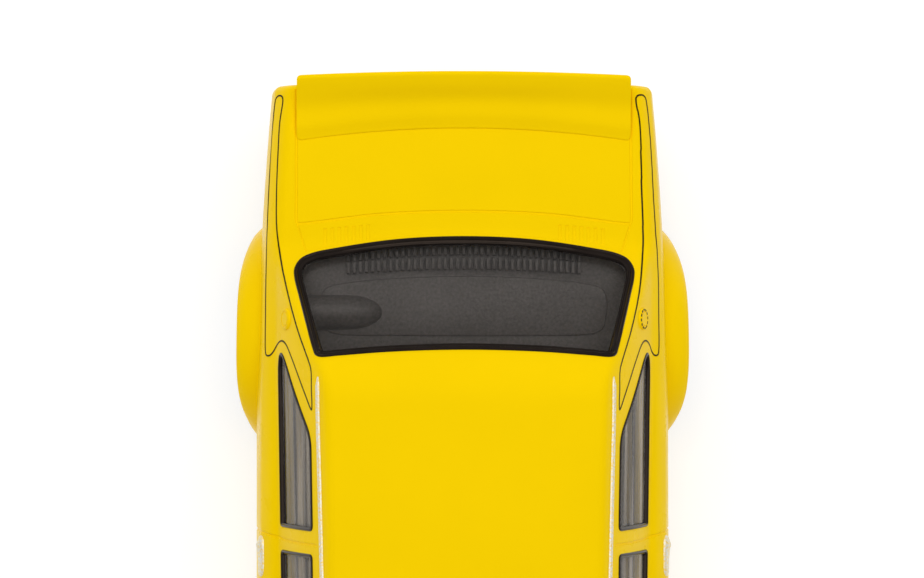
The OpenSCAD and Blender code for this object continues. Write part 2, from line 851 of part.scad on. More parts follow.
module headlamp_lenses() {
    r = lamp_hole_r - seat_fit;
    color(clear) at_lamps() {
        rotate_extrude() {
            polygon(concat([[0, -0.2], [r - 0.5, -0.6], [r, -0.6]],
                [for (k = [0:5]) let (a = 90 * k / 5) [r * cos(a), -0.5 + 0.8 * sin(a)]]));
        }
    }
}

module tail_lamp_lenses() {
    color(red) {
        difference() {
            intersection() {
                tail_lamp_recess(seat_fit, 0.6 - seat_fit);
                block([-body_half, tail_y - 2, 0], [body_half, tail_y + 0.35, roof_height]);
            }
            both_sides() {
                for (k = [-2:2]) {
                    translate([half_width(tail_y) - 7 + 1.5 * k, tail_y + 0.35, 0]) {
                        block([-0.15, -0.2, 0], [0.15, 1, roof_height]);
                    }
                }
            }
        }
    }
}

// Clear moulding: a thin bubble inside the cabin with a raised pane in each window
module glazing() {
    color(smoke) {
        difference() {
            union() {
                intersection() {
                    cabin_solid(glass_inset);
                    window_prisms(seat_fit);
                }
                cabin_solid(bubble_out, hollow_low, hollow_steps);
            }
            cabin_solid(bubble_in, hollow_low + 0.2, hollow_steps);
            block([-body_half, nose_y, 0], [body_half, tail_y, tray_top + seat_fit + 0.5]);
        }
    }
}

// Point on the windscreen, raised off the glass
function screen_point(x, z, lift) =
    let (u = (z - belt_height) / cabin_rise,
        slope = atan(cabin_rise / windscreen_run),
        bow = mix(front_bow_low, front_bow_high, u) * pow(x / cabin_half, 2))
    [x, mix(screen_base_y, roof_front_y, u) + bow - lift * sin(slope), z + lift * cos(slope)];

module windscreen_wipers() {
    arm_r = 0.32;
    lift = arm_r + 0.1;
    color(black) {
        for (x = [-10, 3]) {
            pivot = screen_point(x, belt_height + 0.9, lift);
            elbow = screen_point(x + 4, belt_height + 3.6, lift);
            tip = screen_point(x + 10, belt_height + 3, lift);
            heel = screen_point(x - 1, belt_height + 3.9, lift);
            for (ends = [[pivot, elbow], [heel, tip]]) {
                hull() {
                    translate(ends[0]) sphere(arm_r, $fn = 8);
                    translate(ends[1]) sphere(arm_r, $fn = 8);
                }
            }
        }
    }
}

// Small racing mirror on a peg in the shoulder of the door
module door_mirror() {
    head = [mirror_x() + 2, mirror_y(), belt_height + 2.4];
    color(yellow) {
        translate([mirror_x(), mirror_y(), belt_height - 3]) cylinder(r = mirror_peg_r, h = 4.4, $fn = 20);
        hull() {
            translate([mirror_x(), mirror_y(), belt_height + 1.2]) sphere(mirror_peg_r, $fn = 12);
            translate(head) sphere(0.7, $fn = 12);
        }
        hull() {
            for (x = [-1.4, 1.4]) {
                translate(head + [x, -0.9, 0]) sphere(0.8, $fn = 12);
                translate(head + [x, 0.5, 0]) rotate([-90, 0, 0]) cylinder(r = 1.5, h = 0.5, $fn = 20);
            }
        }
    }
}

module door_mirror_left() {
    door_mirror();
}

module door_mirror_right() {
    mirror([1, 0, 0]) door_mirror();
}

// Moulded seat shell standing on the tray floor
module bucket_seat(x) {
    w = 4.2;
    translate([x, seat_y, tub_floor + tray_t]) {
        block([-w, -8, 0], [w, 1, cushion_t]);
        hull() {
            block([-w, 0.4, 0.5], [w, 2, 1]);
            block([-w + 0.6, 3.2, 14], [w - 0.6, 4.6, 15]);
        }
        hull() {
            block([-2, 3.2, 14], [2, 4.6, 15]);
            block([-1.6, 3.8, 17.4], [1.6, 4.8, 17.6]);
        }
    }
}

// Black interior: front tub with seats and dash, rear bench well and parcel shelf
module interior_tray() {
    ribs = 30;
    rib_pitch = 0.95;
    color(dark_grey) {
        difference() {
            union() {
                block([-tray_half, dash_y, tub_floor], [tray_half, tub_end_y, tray_top]);
                block([-tray_half, tub_end_y - 1, bench_floor], [tray_half, shelf_y + 2, tray_top]);
                translate([0, 0, tray_top - tray_t]) linear_extrude(tray_t) shelf_plan();
            }
            block([-tray_half + tray_t, dash_y + 6, tub_floor + tray_t],
                [tray_half - tray_t, tub_end_y - tray_t, tray_top + 1]);
            block([-tray_half + tray_t, dash_y + tray_t, tub_floor - 1],
                [tray_half - tray_t, dash_y + 6 - tray_t, tray_top - tray_t]);
            block([-tray_half + tray_t, tub_end_y - 2, bench_floor + tray_t],
                [tray_half - tray_t, shelf_y, tray_top + 1]);
        }
        for (k = [0:ribs - 1]) {
            x = (k - (ribs - 1) / 2) * rib_pitch;
            y = shelf_end_y - 0.4 - 2.6 * pow(x / tray_half, 2);
            block([x - 0.24, y - 2, tray_top - 0.2], [x + 0.24, y, tray_top + 0.35]);
        }
        bucket_seat(driver_x);
        bucket_seat(-driver_x);
        dash_top();
        shelf_bottle();
    }
}

module shelf_plan() {
    points = [for (k = [-5:5]) let (x = tray_half * k / 5) [x, shelf_end_y - 2.6 * pow(k / 5, 2)]];
    polygon(concat([[-tray_half, shelf_y]], points, [[tray_half, shelf_y]]));
}

module dash_top() {
    half = tray_half - 1.6;
    hull() {
        block([-half, dash_y + 1, tray_top - 0.4], [half, dash_y + 5.4, tray_top]);
        block([-half + 1, dash_y + 3, tray_top], [half - 1, dash_y + 5.4, tray_top + 1.6]);
    }
}

// Round-ended bottle that lies across the shelf on the driver's side
module shelf_bottle() {
    r = 2.1;
    x0 = -tray_half + 0.6;
    x1 = -13;
    translate([0, roof_rear_y + 5, tray_top]) {
        bar_x(x0, x1, r);
        translate([x1, 0, 0]) intersection() {
            scale([1.9, 1, 1]) sphere(r, $fn = 28);
            block([0, -r, -r], [9, r, r]);
        }
    }
}

module steering_wheel() {
    r = 4.6;
    rake = 62;
    color(black) {
        translate(wheel_hub()) rotate([rake, 0, 0]) {
            rotate_extrude() translate([r, 0]) circle(0.5, $fn = 16);
            cylinder(r = 1.1, h = 0.8, center = true);
            for (a = [90, 210, 330]) {
                rotate(a) block([0.5, -0.45, -0.2], [r, 0.45, 0.2]);
            }
            translate([0, 0, -3]) cylinder(r = 0.6, h = 3);
        }
    }
}

function wheel_hub() = [driver_x, dash_y + 8.9, tray_top + 1.6];

// Driver from the waist up, with arms reaching to the wheel rim
module driver_torso() {
    y = seat_y - 2;
    hip_r = 2.2;
    hip_gap = 0.8;
    hands = wheel_hub() + [0, 1.6, 0.6];
    color(blue) {
        hull() {
            translate([driver_x, y - 0.4, cushion_top + hip_gap + hip_r]) scale([1.3, 0.9, 1]) {
                sphere(hip_r, $fn = 14);
            }
            translate([driver_x, y + 0.2, tray_top + 2]) scale([1.5, 0.85, 0.9]) sphere(2.4, $fn = 14);
            translate([driver_x, y + 0.2, tray_top + 3.7]) scale([1.1, 0.9, 0.4]) sphere(1.7, $fn = 12);
        }
        for (side = [-1, 1]) {
            elbow = [driver_x + side * 4.4, y - 3.2, tray_top - 1];
            hull() {
                translate([driver_x + side * 3.2, y, tray_top + 2]) sphere(1.2, $fn = 10);
                translate(elbow) sphere(1, $fn = 10);
            }
            hull() {
                translate(elbow) sphere(1, $fn = 10);
                translate(hands + [side * 3.4, 0, 0]) sphere(0.75, $fn = 10);
            }
        }
    }
}

// Full-face helmet with a visor slot
module driver_helmet() {
    r = 3.5;
    place = [driver_x, seat_y - 2, tray_top + 8];
    color(white) {
        difference() {
            union() {
                translate(place) scale([0.92, 1, 1]) sphere(r, $fn = 28);
                translate(place + [0, 0, -3.2]) cylinder(r1 = 2, r2 = 2.6, h = 1.4, $fn = 24);
            }
            translate(place) difference() {
                block([-4, -5, -0.9], [4, -0.6, 1.2]);
                scale([0.92, 1, 1]) sphere(r - 0.35, $fn = 28);
            }
        }
    }
}

// Plan of the floor, narrow between the wheels
module floor_plan() {
    front_half = front_in - arch_gap;
    rear_half = rear_in - arch_gap;
    tail_half = half_width(tail_y) - sill_tuck - wall - 1;
    right = [[front_half - 2, chassis_nose_y], [front_half, chassis_nose_y + 2],
        [front_half, front_axle_y + wheel_pocket], [chassis_half, front_axle_y + wheel_pocket + 0.6],
        [chassis_half, rear_axle_y - wheel_pocket - 0.6], [rear_half, rear_axle_y - wheel_pocket],
        [rear_half, rear_axle_y + wheel_pocket], [tail_half, rear_axle_y + wheel_pocket + 0.6],
        [tail_half, chassis_tail_y - 3], [tail_half - 3, chassis_tail_y]];
    polygon(concat(right, [for (k = [len(right) - 1:-1:0]) [-right[k][0], right[k][1]]]));
}

// Block with a snap-in bore for an axle bush, on the right side
module bush_saddle(x, axle_y, gap) {
    half = bush_r + 0.75;
    translate([x, axle_y, 0]) difference() {
        block([0, -half, floor_z], [bush_length - bush_flange_t, half, axle_z + bush_r * 0.8]);
        translate([0, 0, axle_z]) bar_x(-1, bush_length + 1, bush_r + gap);
        block([-1, -bush_r * 0.85, axle_z], [bush_length + 1, bush_r * 0.85, axle_z + bush_r + 2]);
    }
}

// Upright plate with an open slot that locates one end of the motor
module motor_upright(x0, x1, boss_r, half) {
    gap = seat_fit;
    top = motor_z + 2.6;
    difference() {
        block([x0, motor_y - half, floor_z], [x1, motor_y + half, top]);
        translate([0, motor_y, motor_z]) bar_x(x0 - 1, x1 + 1, boss_r + gap);
        block([x0 - 1, motor_y - boss_r - gap, motor_z], [x1 + 1, motor_y + boss_r + gap, top + 1]);
    }
}

// Cross rib that holds the motor's round side
module motor_rib(side) {
    rib_t = 1.4;
    y = motor_y + side * (motor_width / 2 + seat_fit + rib_t / 2);
    block([can_x0 + 2, y - rib_t / 2, floor_z], [can_x1 - 2, y + rib_t / 2, motor_z - 2.4]);
}

// Screw boss on the floor, without its hole
module floor_boss(place, r, top) {
    translate([place[0], place[1], floor_z]) cylinder(r = r, h = top - floor_z);
}

screw_places = [[0, front_post_y], [rear_post_x, rear_post_y], [-rear_post_x, rear_post_y]];

module chassis() {
    rail_t = 1;
    rail_top = sill_height + 2.4;
    rail_y0 = front_axle_y + wheel_pocket + 1.2;
    rail_y1 = rear_axle_y - wheel_pocket - 1.2;
    tongue_r = guide_sweep + 1.4;
    tongue_t = 1.5;
    magnet_half = [magnet_length / 2 + seat_fit, magnet_w / 2 + seat_fit];
    pocket_t = 0.8;
    hatch_screw_y = hatch_y - hatch_half_y + 1.8;
    color(black) {
        difference() {
            union() {
                translate([0, 0, floor_z]) linear_extrude(floor_t) floor_plan();
                both_sides() {
                    block([chassis_half - rail_t, rail_y0, floor_z], [chassis_half, rail_y1, rail_top]);
                    bush_saddle(rear_bush_x, rear_axle_y, 0.02);
                    bush_saddle(front_bush_x, front_axle_y, 0.02);
                }
                intersection() {
                    translate([0, guide_y, floor_z]) {
                        cylinder(r = tongue_r, h = guide_ceiling + tongue_t - floor_z);
                    }
                    block([-tongue_r, chassis_nose_y, 0], [tongue_r, front_axle_y + 4, 10]);
                }
                translate([0, guide_y, guide_ceiling]) {
                    cylinder(r = guide_boss_r, h = guide_boss_top - guide_ceiling);
                }
                motor_upright(can_x1 + seat_fit, can_x1 + boss_length, can_boss_r, 5);
                motor_upright(bell_x0 - seat_fit - 1, bell_x0 - seat_fit, bell_boss_r, 3.8);
                motor_rib(-1);
                motor_rib(1);
                block([can_x0 + 3, motor_y - 4, floor_z],
                    [can_x1 - 3, motor_y + 4, motor_z - motor_height / 2 - 0.1]);
                for (p = screw_places) {
                    floor_boss(p, boss_r, post_foot_z);
                }
                floor_boss([0, display_y], display_hole_d / 2 + 1.4, floor_z + 6);
                floor_boss([0, hatch_screw_y], 2, floor_z + 4.4);
                translate([0, magnet_y, 0]) difference() {
                    block([-magnet_half[0] - pocket_t, -magnet_half[1] - pocket_t, floor_z],
                        [magnet_half[0] + pocket_t, magnet_half[1] + pocket_t, deck_z + 1.6]);
                    block([-magnet_half[0], -magnet_half[1], deck_z],
                        [magnet_half[0], magnet_half[1], deck_z + 9]);
                }
            }
            translate([0, guide_y, -1]) cylinder(r = guide_sweep, h = guide_ceiling + 1);
            translate([0, guide_y, 0]) cylinder(r = guide_post_r + running_fit, h = 20);
            both_sides() {
                block([contact_tab_x - contact_t - 0.12, guide_y - 1.15, 0],
                    [contact_tab_x + 0.12, guide_y + 1.15, 9]);
            }
            for (p = screw_places) {
                translate([p[0], p[1], 0]) cylinder(r = screw_r + 0.25, h = 20);
                translate([p[0], p[1], 0]) cylinder(r = screw_head_r + 0.25, h = floor_z + 1.2);
            }
            translate([0, display_y, 0]) cylinder(r = display_hole_d / 2, h = 20);
            block([gear_x - 1, rear_axle_y - gear_tip_r - 1, 0],
                [gear_x + gear_w + 0.3, rear_axle_y + gear_tip_r + 1, axle_z - bush_r - 1]);
            block([gear_x - 1, rear_axle_y - gear_tip_r - 1, 0],
                [gear_x + gear_w + 0.3, rear_axle_y + gear_tip_r + 1, deck_z + 0.1]);
            translate([0, hatch_y, 0]) {
                block([-hatch_half_x, -hatch_half_y, 0], [hatch_half_x, hatch_half_y, floor_z + 0.9]);
                block([-hatch_half_x + 1.5, -hatch_half_y + 4, 0],
                    [hatch_half_x - 1.5, hatch_half_y - 1.5, 9]);
            }
            translate([0, hatch_screw_y, 0]) cylinder(r = 0.7 + 0.1, h = 20);
        }
    }
}

module service_hatch() {
    gap = seat_fit;
    screw_y = hatch_y - hatch_half_y + 1.8;
    color(black) {
        difference() {
            translate([0, hatch_y, 0]) {
                block([-hatch_half_x + gap, -hatch_half_y + gap, floor_z + 0.05],
                    [hatch_half_x - gap, hatch_half_y - gap, floor_z + 0.8]);
            }
            translate([0, screw_y, 0]) cylinder(r = 0.9, h = 9);
            translate([0, screw_y, 0]) cylinder(r = 1.65, h = floor_z + 0.45);
            for (k = [-2:2]) {
                translate([0, hatch_y + 2 + 2 * k, 0]) block([-7, -0.4, 0], [7, 0.4, floor_z + 0.3]);
            }
        }
    }
}

// Round-headed screw standing up from its head, with a cross recess
module screw(head_r, head_t, r, length) {
    difference() {
        union() {
            cylinder(r = head_r, h = head_t, $fn = 32);
            cylinder(r = r, h = length, $fn = 24);
            translate([0, 0, length]) cylinder(r1 = r, r2 = 0.3, h = r, $fn = 24);
        }
        for (a = [0, 90]) {
            rotate(a) block([-head_r * 0.6, -0.2, -1], [head_r * 0.6, 0.2, head_t * 0.55]);
        }
    }
}

module hatch_screw() {
    color(steel) translate([0, hatch_y - hatch_half_y + 1.8, floor_z + 0.08]) screw(1.5, 0.36, 0.7, 4);
}

module body_screws() {
    color(steel) {
        for (p = screw_places) {
            translate([p[0], p[1], floor_z + 0.1]) screw(screw_head_r, 1, screw_r, 11);
        }
    }
}

module traction_magnet() {
    half = magnet_length / 2;
    color(steel) {
        translate([0, magnet_y, deck_z + 0.1]) {
            block([-half, -magnet_w / 2, 0], [half, magnet_w / 2, magnet_t]);
        }
    }
}

// Twin-bore tailpipe that lies on the floor and leaves under the tail
module exhaust_pipe() {
    r = 1.3;
    bore = 0.95;
    x0 = -rear_post_x - 2.4;
    x1 = -rear_post_x + 0.4;
    front = rear_post_y + boss_r + 0.2;
    color(silver) {
        for (x = [x0, x1]) {
            translate([x, front, deck_z + r + 0.1]) rotate([-90, 0, 0]) difference() {
                cylinder(r = r, h = tail_y - 1 - front, $fn = 32);
                translate([0, 0, 1]) cylinder(r = bore, h = 40, $fn = 32);
            }
        }
        block([x0, front + 0.5, deck_z + 0.4], [x1, chassis_tail_y - 2, deck_z + 2.2]);
    }
}

// Flanged bush on the right side, with its flange outwards
module bush(x, axle_y) {
    translate([x, axle_y, axle_z]) {
        difference() {
            union() {
                bar_x(0, bush_length, bush_r);
                bar_x(bush_length - bush_flange_t + 0.05, bush_length, bush_flange_r);
            }
            bar_x(-1, bush_length + 1, axle_r + running_fit);
        }
    }
}

module rear_axle_bushes() {
    color(brass) both_sides() bush(rear_bush_x, rear_axle_y);
}

module front_axle_bushes() {
    color(brass) both_sides() bush(front_bush_x, front_axle_y);
}

// Section of the motor: a circle cut by two flats
module motor_section(inset) {
    intersection() {
        circle(motor_width / 2 - inset, $fn = 64);
        square([motor_width, motor_height - 2 * inset], center = true);
    }
}

module at_motor(x) {
    translate([x, motor_y, motor_z]) along_x() children();
}

module motor_can() {
    color(steel) {
        difference() {
            union() {
                at_motor(can_x0) linear_extrude(can_length) motor_section(0);
                at_motor(can_x1 - can_wall / 2) cylinder(r = can_boss_r, h = boss_length + can_wall / 2);
            }
            at_motor(can_x0 - 1) linear_extrude(can_length + 1 - can_wall) motor_section(can_wall);
            at_motor(can_x0) cylinder(r = shaft_r + running_fit, h = 99);
        }
    }
}

module motor_end_bell() {
    cavity = commutator_r + 2.6;
    color(white) {
        difference() {
            union() {
                at_motor(bell_x0) linear_extrude(bell_length - 0.05) motor_section(0);
                at_motor(bell_x0 - 0.9) cylinder(r = bell_boss_r, h = 1);
            }
            at_motor(bell_x0 + 1.2) cylinder(r = cavity, h = 99);
            at_motor(bell_x0 - 9) cylinder(r = shaft_r + running_fit, h = 99);
            for (side = [-1, 1]) {
                translate([bell_x0, terminal_y, motor_z + side * terminal_z]) {
                    block([-1, -0.95, -0.3], [2.2, 0.95, 0.3]);
                }
            }
        }
    }
}

module motor_magnets() {
    outer = motor_width / 2 - can_wall - 0.1;
    inner = armature_r + magnet_air_gap;
    flat = motor_height / 2 - can_wall - 0.6;
    color(dark_grey) {
        at_motor(armature_x - 0.5) linear_extrude(armature_length + 1) {
            difference() {
                intersection() {
                    circle(outer, $fn = 64);
                    square([2 * outer, 2 * flat], center = true);
                }
                circle(inner, $fn = 64);
                square([inner, 2 * motor_height], center = true);
            }
        }
    }
}

// Two carbon brushes that stand beside the commutator
module motor_brushes() {
    color(copper) {
        for (side = [-1, 1]) {
            translate([commutator_x + 0.5, motor_y, motor_z]) {
                block([0, -0.8, side > 0 ? commutator_r + 0.1 : -commutator_r - 2.3],
                    [1.6, 0.8, side > 0 ? commutator_r + 2.3 : -commutator_r - 0.1]);
            }
        }
    }
}

module motor_terminals() {
    color(brass) {
        for (side = [-1, 1]) {
            translate([bell_x0, terminal_y, motor_z + side * terminal_z]) difference() {
                block([-1.9, -0.8, -0.18], [2, 0.8, 0.18]);
                translate([-1.1, 0, -1]) cylinder(r = 0.35, h = 2, $fn = 20);
            }
        }
    }
}

module motor_shaft() {
    color(steel) at_motor(bell_x0 - 1.2) cylinder(r = shaft_r, h = gear_x + gear_w + 0.2 - bell_x0 + 1.2);
}

// Section of the three-pole armature
module armature_section(r, stem, tip) {
    intersection() {
        circle(r, $fn = 64);
        union() {
            circle(shaft_r + stem, $fn = 32);
            for (a = [90, 210, 330]) {
                rotate(a) {
                    translate([0, -stem]) square([r + 1, 2 * stem]);
                    difference() {
                        intersection() {
                            circle(r + 1, $fn = 48);
                            polygon([[0, 0], [2 * r, -2 * r * tan(tip)], [2 * r, 2 * r * tan(tip)]]);
                        }
                        circle(r - 1, $fn = 48);
                    }
                }
            }
        }
    }
}

module armature_core() {
    color(steel) {
        difference() {
            at_motor(armature_x) linear_extrude(armature_length) armature_section(armature_r, 0.9, 48);
            at_motor(armature_x - 1) cylinder(r = shaft_r + press_fit, h = armature_length + 2);
        }
    }
}

module armature_windings() {
    over = 1.1;
    color(copper) {
        difference() {
            at_motor(armature_x - over) cylinder(r = armature_r - 1.1, h = armature_length + 2 * over);
            at_motor(armature_x - 0.05) linear_extrude(armature_length + 0.1) {
                armature_section(armature_r, 0.95, 48);
            }
            at_motor(armature_x - 9) cylinder(r = shaft_r + 0.05, h = 99);
        }
    }
}

module commutator() {
    color(copper) {
        difference() {
            at_motor(commutator_x) cylinder(r = commutator_r, h = commutator_length);
            at_motor(commutator_x - 1) cylinder(r = shaft_r + press_fit, h = 9);
            for (a = [30, 150, 270]) {
                translate([commutator_x - 1, motor_y, motor_z]) rotate([a, 0, 0]) {
                    block([0, -0.1, commutator_r - 0.5], [9, 0.1, commutator_r + 1]);
                }
            }
        }
    }
}

// Spur gear along X with a bore
module spur_gear(teeth, tip_r, width, bore) {
    root_r = gear_module * teeth / 2 - 1.2 * gear_module;
    along_x() linear_extrude(width) difference() {
        polygon(gear_outline(teeth, tip_r, root_r));
        circle(bore, $fn = 48);
    }
}

module pinion() {
    tip_r = pinion_pitch_r + 0.9 * gear_module;
    color(brass) {
        translate([gear_x - 0.1, motor_y, motor_z]) {
            spur_gear(pinion_teeth, tip_r, gear_w + 0.2, shaft_r + press_fit);
        }
    }
}

module axle_gear() {
    windows = 5;
    color(white) {
        translate([gear_x, rear_axle_y, axle_z]) {
            difference() {
                spur_gear(gear_teeth, gear_tip_r, gear_w, axle_r + press_fit);
                for (k = [0:windows - 1]) {
                    rotate([360 * k / windows, 0, 0]) translate([0, 0, gear_pitch_r * 0.58]) {
                        bar_x(-1, 9, 1.35);
                    }
                }
                ring_x(gear_w - 0.7, gear_w + 1, gear_pitch_r - 1.5, bush_flange_r + 0.2);
            }
        }
    }
}

// Brass contact plates under the chassis that the braids rub on, each with a tab for its lead
module contact_plates() {
    outer = 6.4;
    inner = 3.4;
    color(brass) both_sides() {
        translate([0, guide_y, guide_ceiling - contact_t - 0.05]) {
            linear_extrude(contact_t) intersection() {
                difference() {
                    circle(outer, $fn = 64);
                    circle(inner, $fn = 64);
                }
                polygon([[0, 0], [4, -15], [20, -15], [20, 15], [4, 15]]);
            }
            block([contact_tab_x - contact_t, -1, 0], [contact_tab_x, 1, 3.6]);
        }
    }
}

lead_r = 0.5;
lead_tab_x = contact_tab_x + lead_r + 0.1;
lead_end_x = bell_x0 - 1.9 - lead_r - 0.1;
lead_level = deck_z + lead_r + 0.2;
lead_side_x = hatch_half_x + 3.4;
lead_magnet_x = -magnet_length / 2 - 4;
lead_turn_x = mix(lead_magnet_x, lead_end_x, 0.8);

// Lead along its hand-chosen points on the floor
module lead(points) {
    skin(tube_rings(spline(points, 4), lead_r, 6));
}

module lead_wire_left() {
    end_z = motor_z + terminal_z;
    color(red) lead([[lead_tab_x, guide_y - 0.9, 5.6], [lead_tab_x + 0.3, guide_y + 4, 5.5],
        [8, front_axle_y, 5.2], [lead_side_x, front_axle_y + 8, lead_level],
        [lead_side_x, hatch_y - 6, lead_level], [lead_side_x - 1, hatch_y + 6, lead_level],
        [9, hatch_y + 10.4, lead_level], [-9, hatch_y + 10.4, lead_level],
        [lead_magnet_x, magnet_y - 1, lead_level], [lead_turn_x, magnet_y + 4, lead_level + 1],
        [lead_end_x, terminal_y - 2.5, end_z - 1], [lead_end_x, terminal_y + 0.6, end_z]]);
}

module lead_wire_right() {
    end_z = motor_z - terminal_z;
    color(black) lead([[-lead_tab_x, guide_y - 0.9, 5.6], [-lead_tab_x - 0.3, guide_y + 4, 5.5],
        [-8, front_axle_y, 5.2], [-lead_side_x, front_axle_y + 8, lead_level],
        [-lead_side_x, hatch_y, lead_level], [-lead_side_x - 3, magnet_y - 6, lead_level],
        [lead_turn_x - 2, magnet_y + 3, lead_level],
        [lead_end_x - 0.6, terminal_y - 3, lead_level + 1.4], [lead_end_x, terminal_y + 0.6, end_z]]);
}

// Guide: plate, blade, pivot post and retaining head, turning about the post
module guide() {
    head_r = guide_post_r + 0.55;
    head_z = guide_boss_top + 0.2;
    color(black) {
        translate([0, guide_y, 0]) {
            translate([0, 0, guide_plate_z]) linear_extrude(guide_plate_top - guide_plate_z) guide_plan();
            translate([0, 0, guide_plate_z]) {
                cylinder(r = guide_post_r + 0.7, h = guide_ceiling - 0.15 - guide_plate_z);
                cylinder(r = guide_post_r, h = head_z + 0.1 - guide_plate_z);
            }
            translate([0, 0, head_z]) cylinder(r1 = head_r, r2 = head_r - 0.5, h = 1);
            translate([-blade_t / 2, 0, 0]) along_x() linear_extrude(blade_t) {
                polygon([[-guide_front, guide_plate_z + 0.3], [-guide_front, -blade_depth + 2.4],
                    [-guide_front + 2, -blade_depth], [guide_back - 3, -blade_depth],
                    [guide_back - 1, -blade_depth + 2.4], [guide_back - 0.4, guide_plate_z + 0.3]]);
            }
        }
    }
}

module guide_plan() {
    nose = 1.4;
    polygon([[-guide_half + nose, -guide_front], [guide_half - nose, -guide_front],
        [guide_half, -guide_front + nose], [guide_half, guide_back - 3], [guide_half - 2, guide_back],
        [-guide_half + 2, guide_back], [-guide_half, guide_back - 3], [-guide_half, -guide_front + nose]]);
}

// Flat braid on the left side: under the plate, round its front edge and back over it
module pickup_braid() {
    x0 = blade_t / 2 + 0.5;
    x1 = guide_half - 0.2;
    top_x0 = guide_post_r + 0.9;
    braid_t = 0.55;
    fold = 0.4;
    front = -guide_front - 0.1;
    tail = sqrt(pow(guide_sweep - turning_gap, 2) - x1 * x1);
    color(copper) {
        translate([0, guide_y, 0]) {
            block([x0, front - fold, 0.05], [x1, tail, 0.05 + braid_t]);
            block([top_x0, front - fold, 0.05], [x1, front, guide_plate_top + 0.3]);
            block([top_x0, front - fold, guide_plate_top + 0.05], [x1, 1.5, guide_plate_top + 0.3]);
        }
    }
}

module pickup_braid_left() {
    pickup_braid();
}

module pickup_braid_right() {
    mirror([1, 0, 0]) pickup_braid();
}

module axle(out, axle_y) {
    half = out - axle_end_inset;
    color(steel) translate([0, axle_y, axle_z]) bar_x(-half, half, axle_r);
}

module rear_axle() {
    axle(rear_out, rear_axle_y);
}

module front_axle() {
    axle(front_out, front_axle_y);
}

// Wheel on the right side: barrel, lips, web and hub, from its inner face at x0
module wheel(x0, width, axle_y) {
    barrel = rim_r - 0.9;
    hub_r = axle_r + 1.3;
    lip = rim_r + 0.35;
    web0 = width * 0.35;
    web1 = web0 + 1.3;
    face = width - 2.3;
    bore = axle_r + press_fit;
    color(silver) {
        translate([x0, axle_y, axle_z]) along_x() rotate_extrude() {
            polygon([[bore, 0], [hub_r, 0], [hub_r, web0], [barrel, web0], [barrel, 0.3], [lip, 0.3],
                [lip, 0.9], [rim_r, 1.2], [rim_r, width - 1.2], [lip, width - 0.9], [lip, width - 0.3],
                [barrel, width - 0.3], [barrel, web1], [hub_r, web1], [hub_r, face], [bore, face]]);
        }
    }
}

// Five-spoke wheel centre on the right side
module wheel_insert(x0, width, axle_y) {
    spokes = 5;
    outer = rim_r - 0.9 - 0.05;
    face = width - 2.2;
    insert_t = 1.1;
    color(silver) {
        translate([x0 + face, axle_y, axle_z]) along_x() {
            linear_extrude(insert_t) {
                difference() {
                    circle(outer, $fn = 64);
                    circle(outer - 0.7, $fn = 64);
                }
                for (k = [0:spokes - 1]) {
                    rotate(360 * k / spokes + 90) {
                        polygon([[1, -1.3], [outer - 0.4, -0.75], [outer - 0.4, 0.75], [1, 1.3]]);
                    }
                }
                circle(2.2, $fn = 48);
            }
            cylinder(r1 = 1.7, r2 = 1.3, h = insert_t + 0.5);
        }
    }
}

// Slick tyre on the right side with rounded shoulders
module tyre(x0, width, axle_y) {
    lip = rim_r + 0.4;
    seat = rim_r + 0.03;
    shoulder = 1.2;
    bulge = 0.25;
    arc_steps = 4;
    color(rubber) {
        translate([x0, axle_y, axle_z]) along_x() rotate_extrude() {
            polygon(concat(
                [[seat, 1.25], [lip, 0.95], [lip, 0.1], [mix(lip, tyre_r, 0.45), 0]],
                [for (k = [0:arc_steps]) let (a = 90 * k / arc_steps)
                    [tyre_r - shoulder + shoulder * sin(a), bulge + shoulder * (1 - cos(a))]],
                [for (k = [0:arc_steps]) let (a = 90 * k / arc_steps)
                    [tyre_r - shoulder + shoulder * cos(a), width - bulge - shoulder * (1 - sin(a))]],
                [[mix(lip, tyre_r, 0.45), width], [lip, width - 0.1], [lip, width - 0.95],
                    [seat, width - 1.25]]));
        }
    }
}

module rear_wheel_left() {
    wheel(rear_in, rear_tyre_w, rear_axle_y);
}

module rear_wheel_right() {
    mirror([1, 0, 0]) wheel(rear_in, rear_tyre_w, rear_axle_y);
}

module rear_wheel_insert_left() {
    wheel_insert(rear_in, rear_tyre_w, rear_axle_y);
}

module rear_wheel_insert_right() {
    mirror([1, 0, 0]) wheel_insert(rear_in, rear_tyre_w, rear_axle_y);
}

module rear_tyre_left() {
    tyre(rear_in, rear_tyre_w, rear_axle_y);
}

module rear_tyre_right() {
    mirror([1, 0, 0]) tyre(rear_in, rear_tyre_w, rear_axle_y);
}

module front_wheel_left() {
    wheel(front_in, front_tyre_w, front_axle_y);
}

module front_wheel_right() {
    mirror([1, 0, 0]) wheel(front_in, front_tyre_w, front_axle_y);
}

module front_wheel_insert_left() {
    wheel_insert(front_in, front_tyre_w, front_axle_y);
}

module front_wheel_insert_right() {
    mirror([1, 0, 0]) wheel_insert(front_in, front_tyre_w, front_axle_y);
}

module front_tyre_left() {
    tyre(front_in, front_tyre_w, front_axle_y);
}

module front_tyre_right() {
    mirror([1, 0, 0]) tyre(front_in, front_tyre_w, front_axle_y);
}

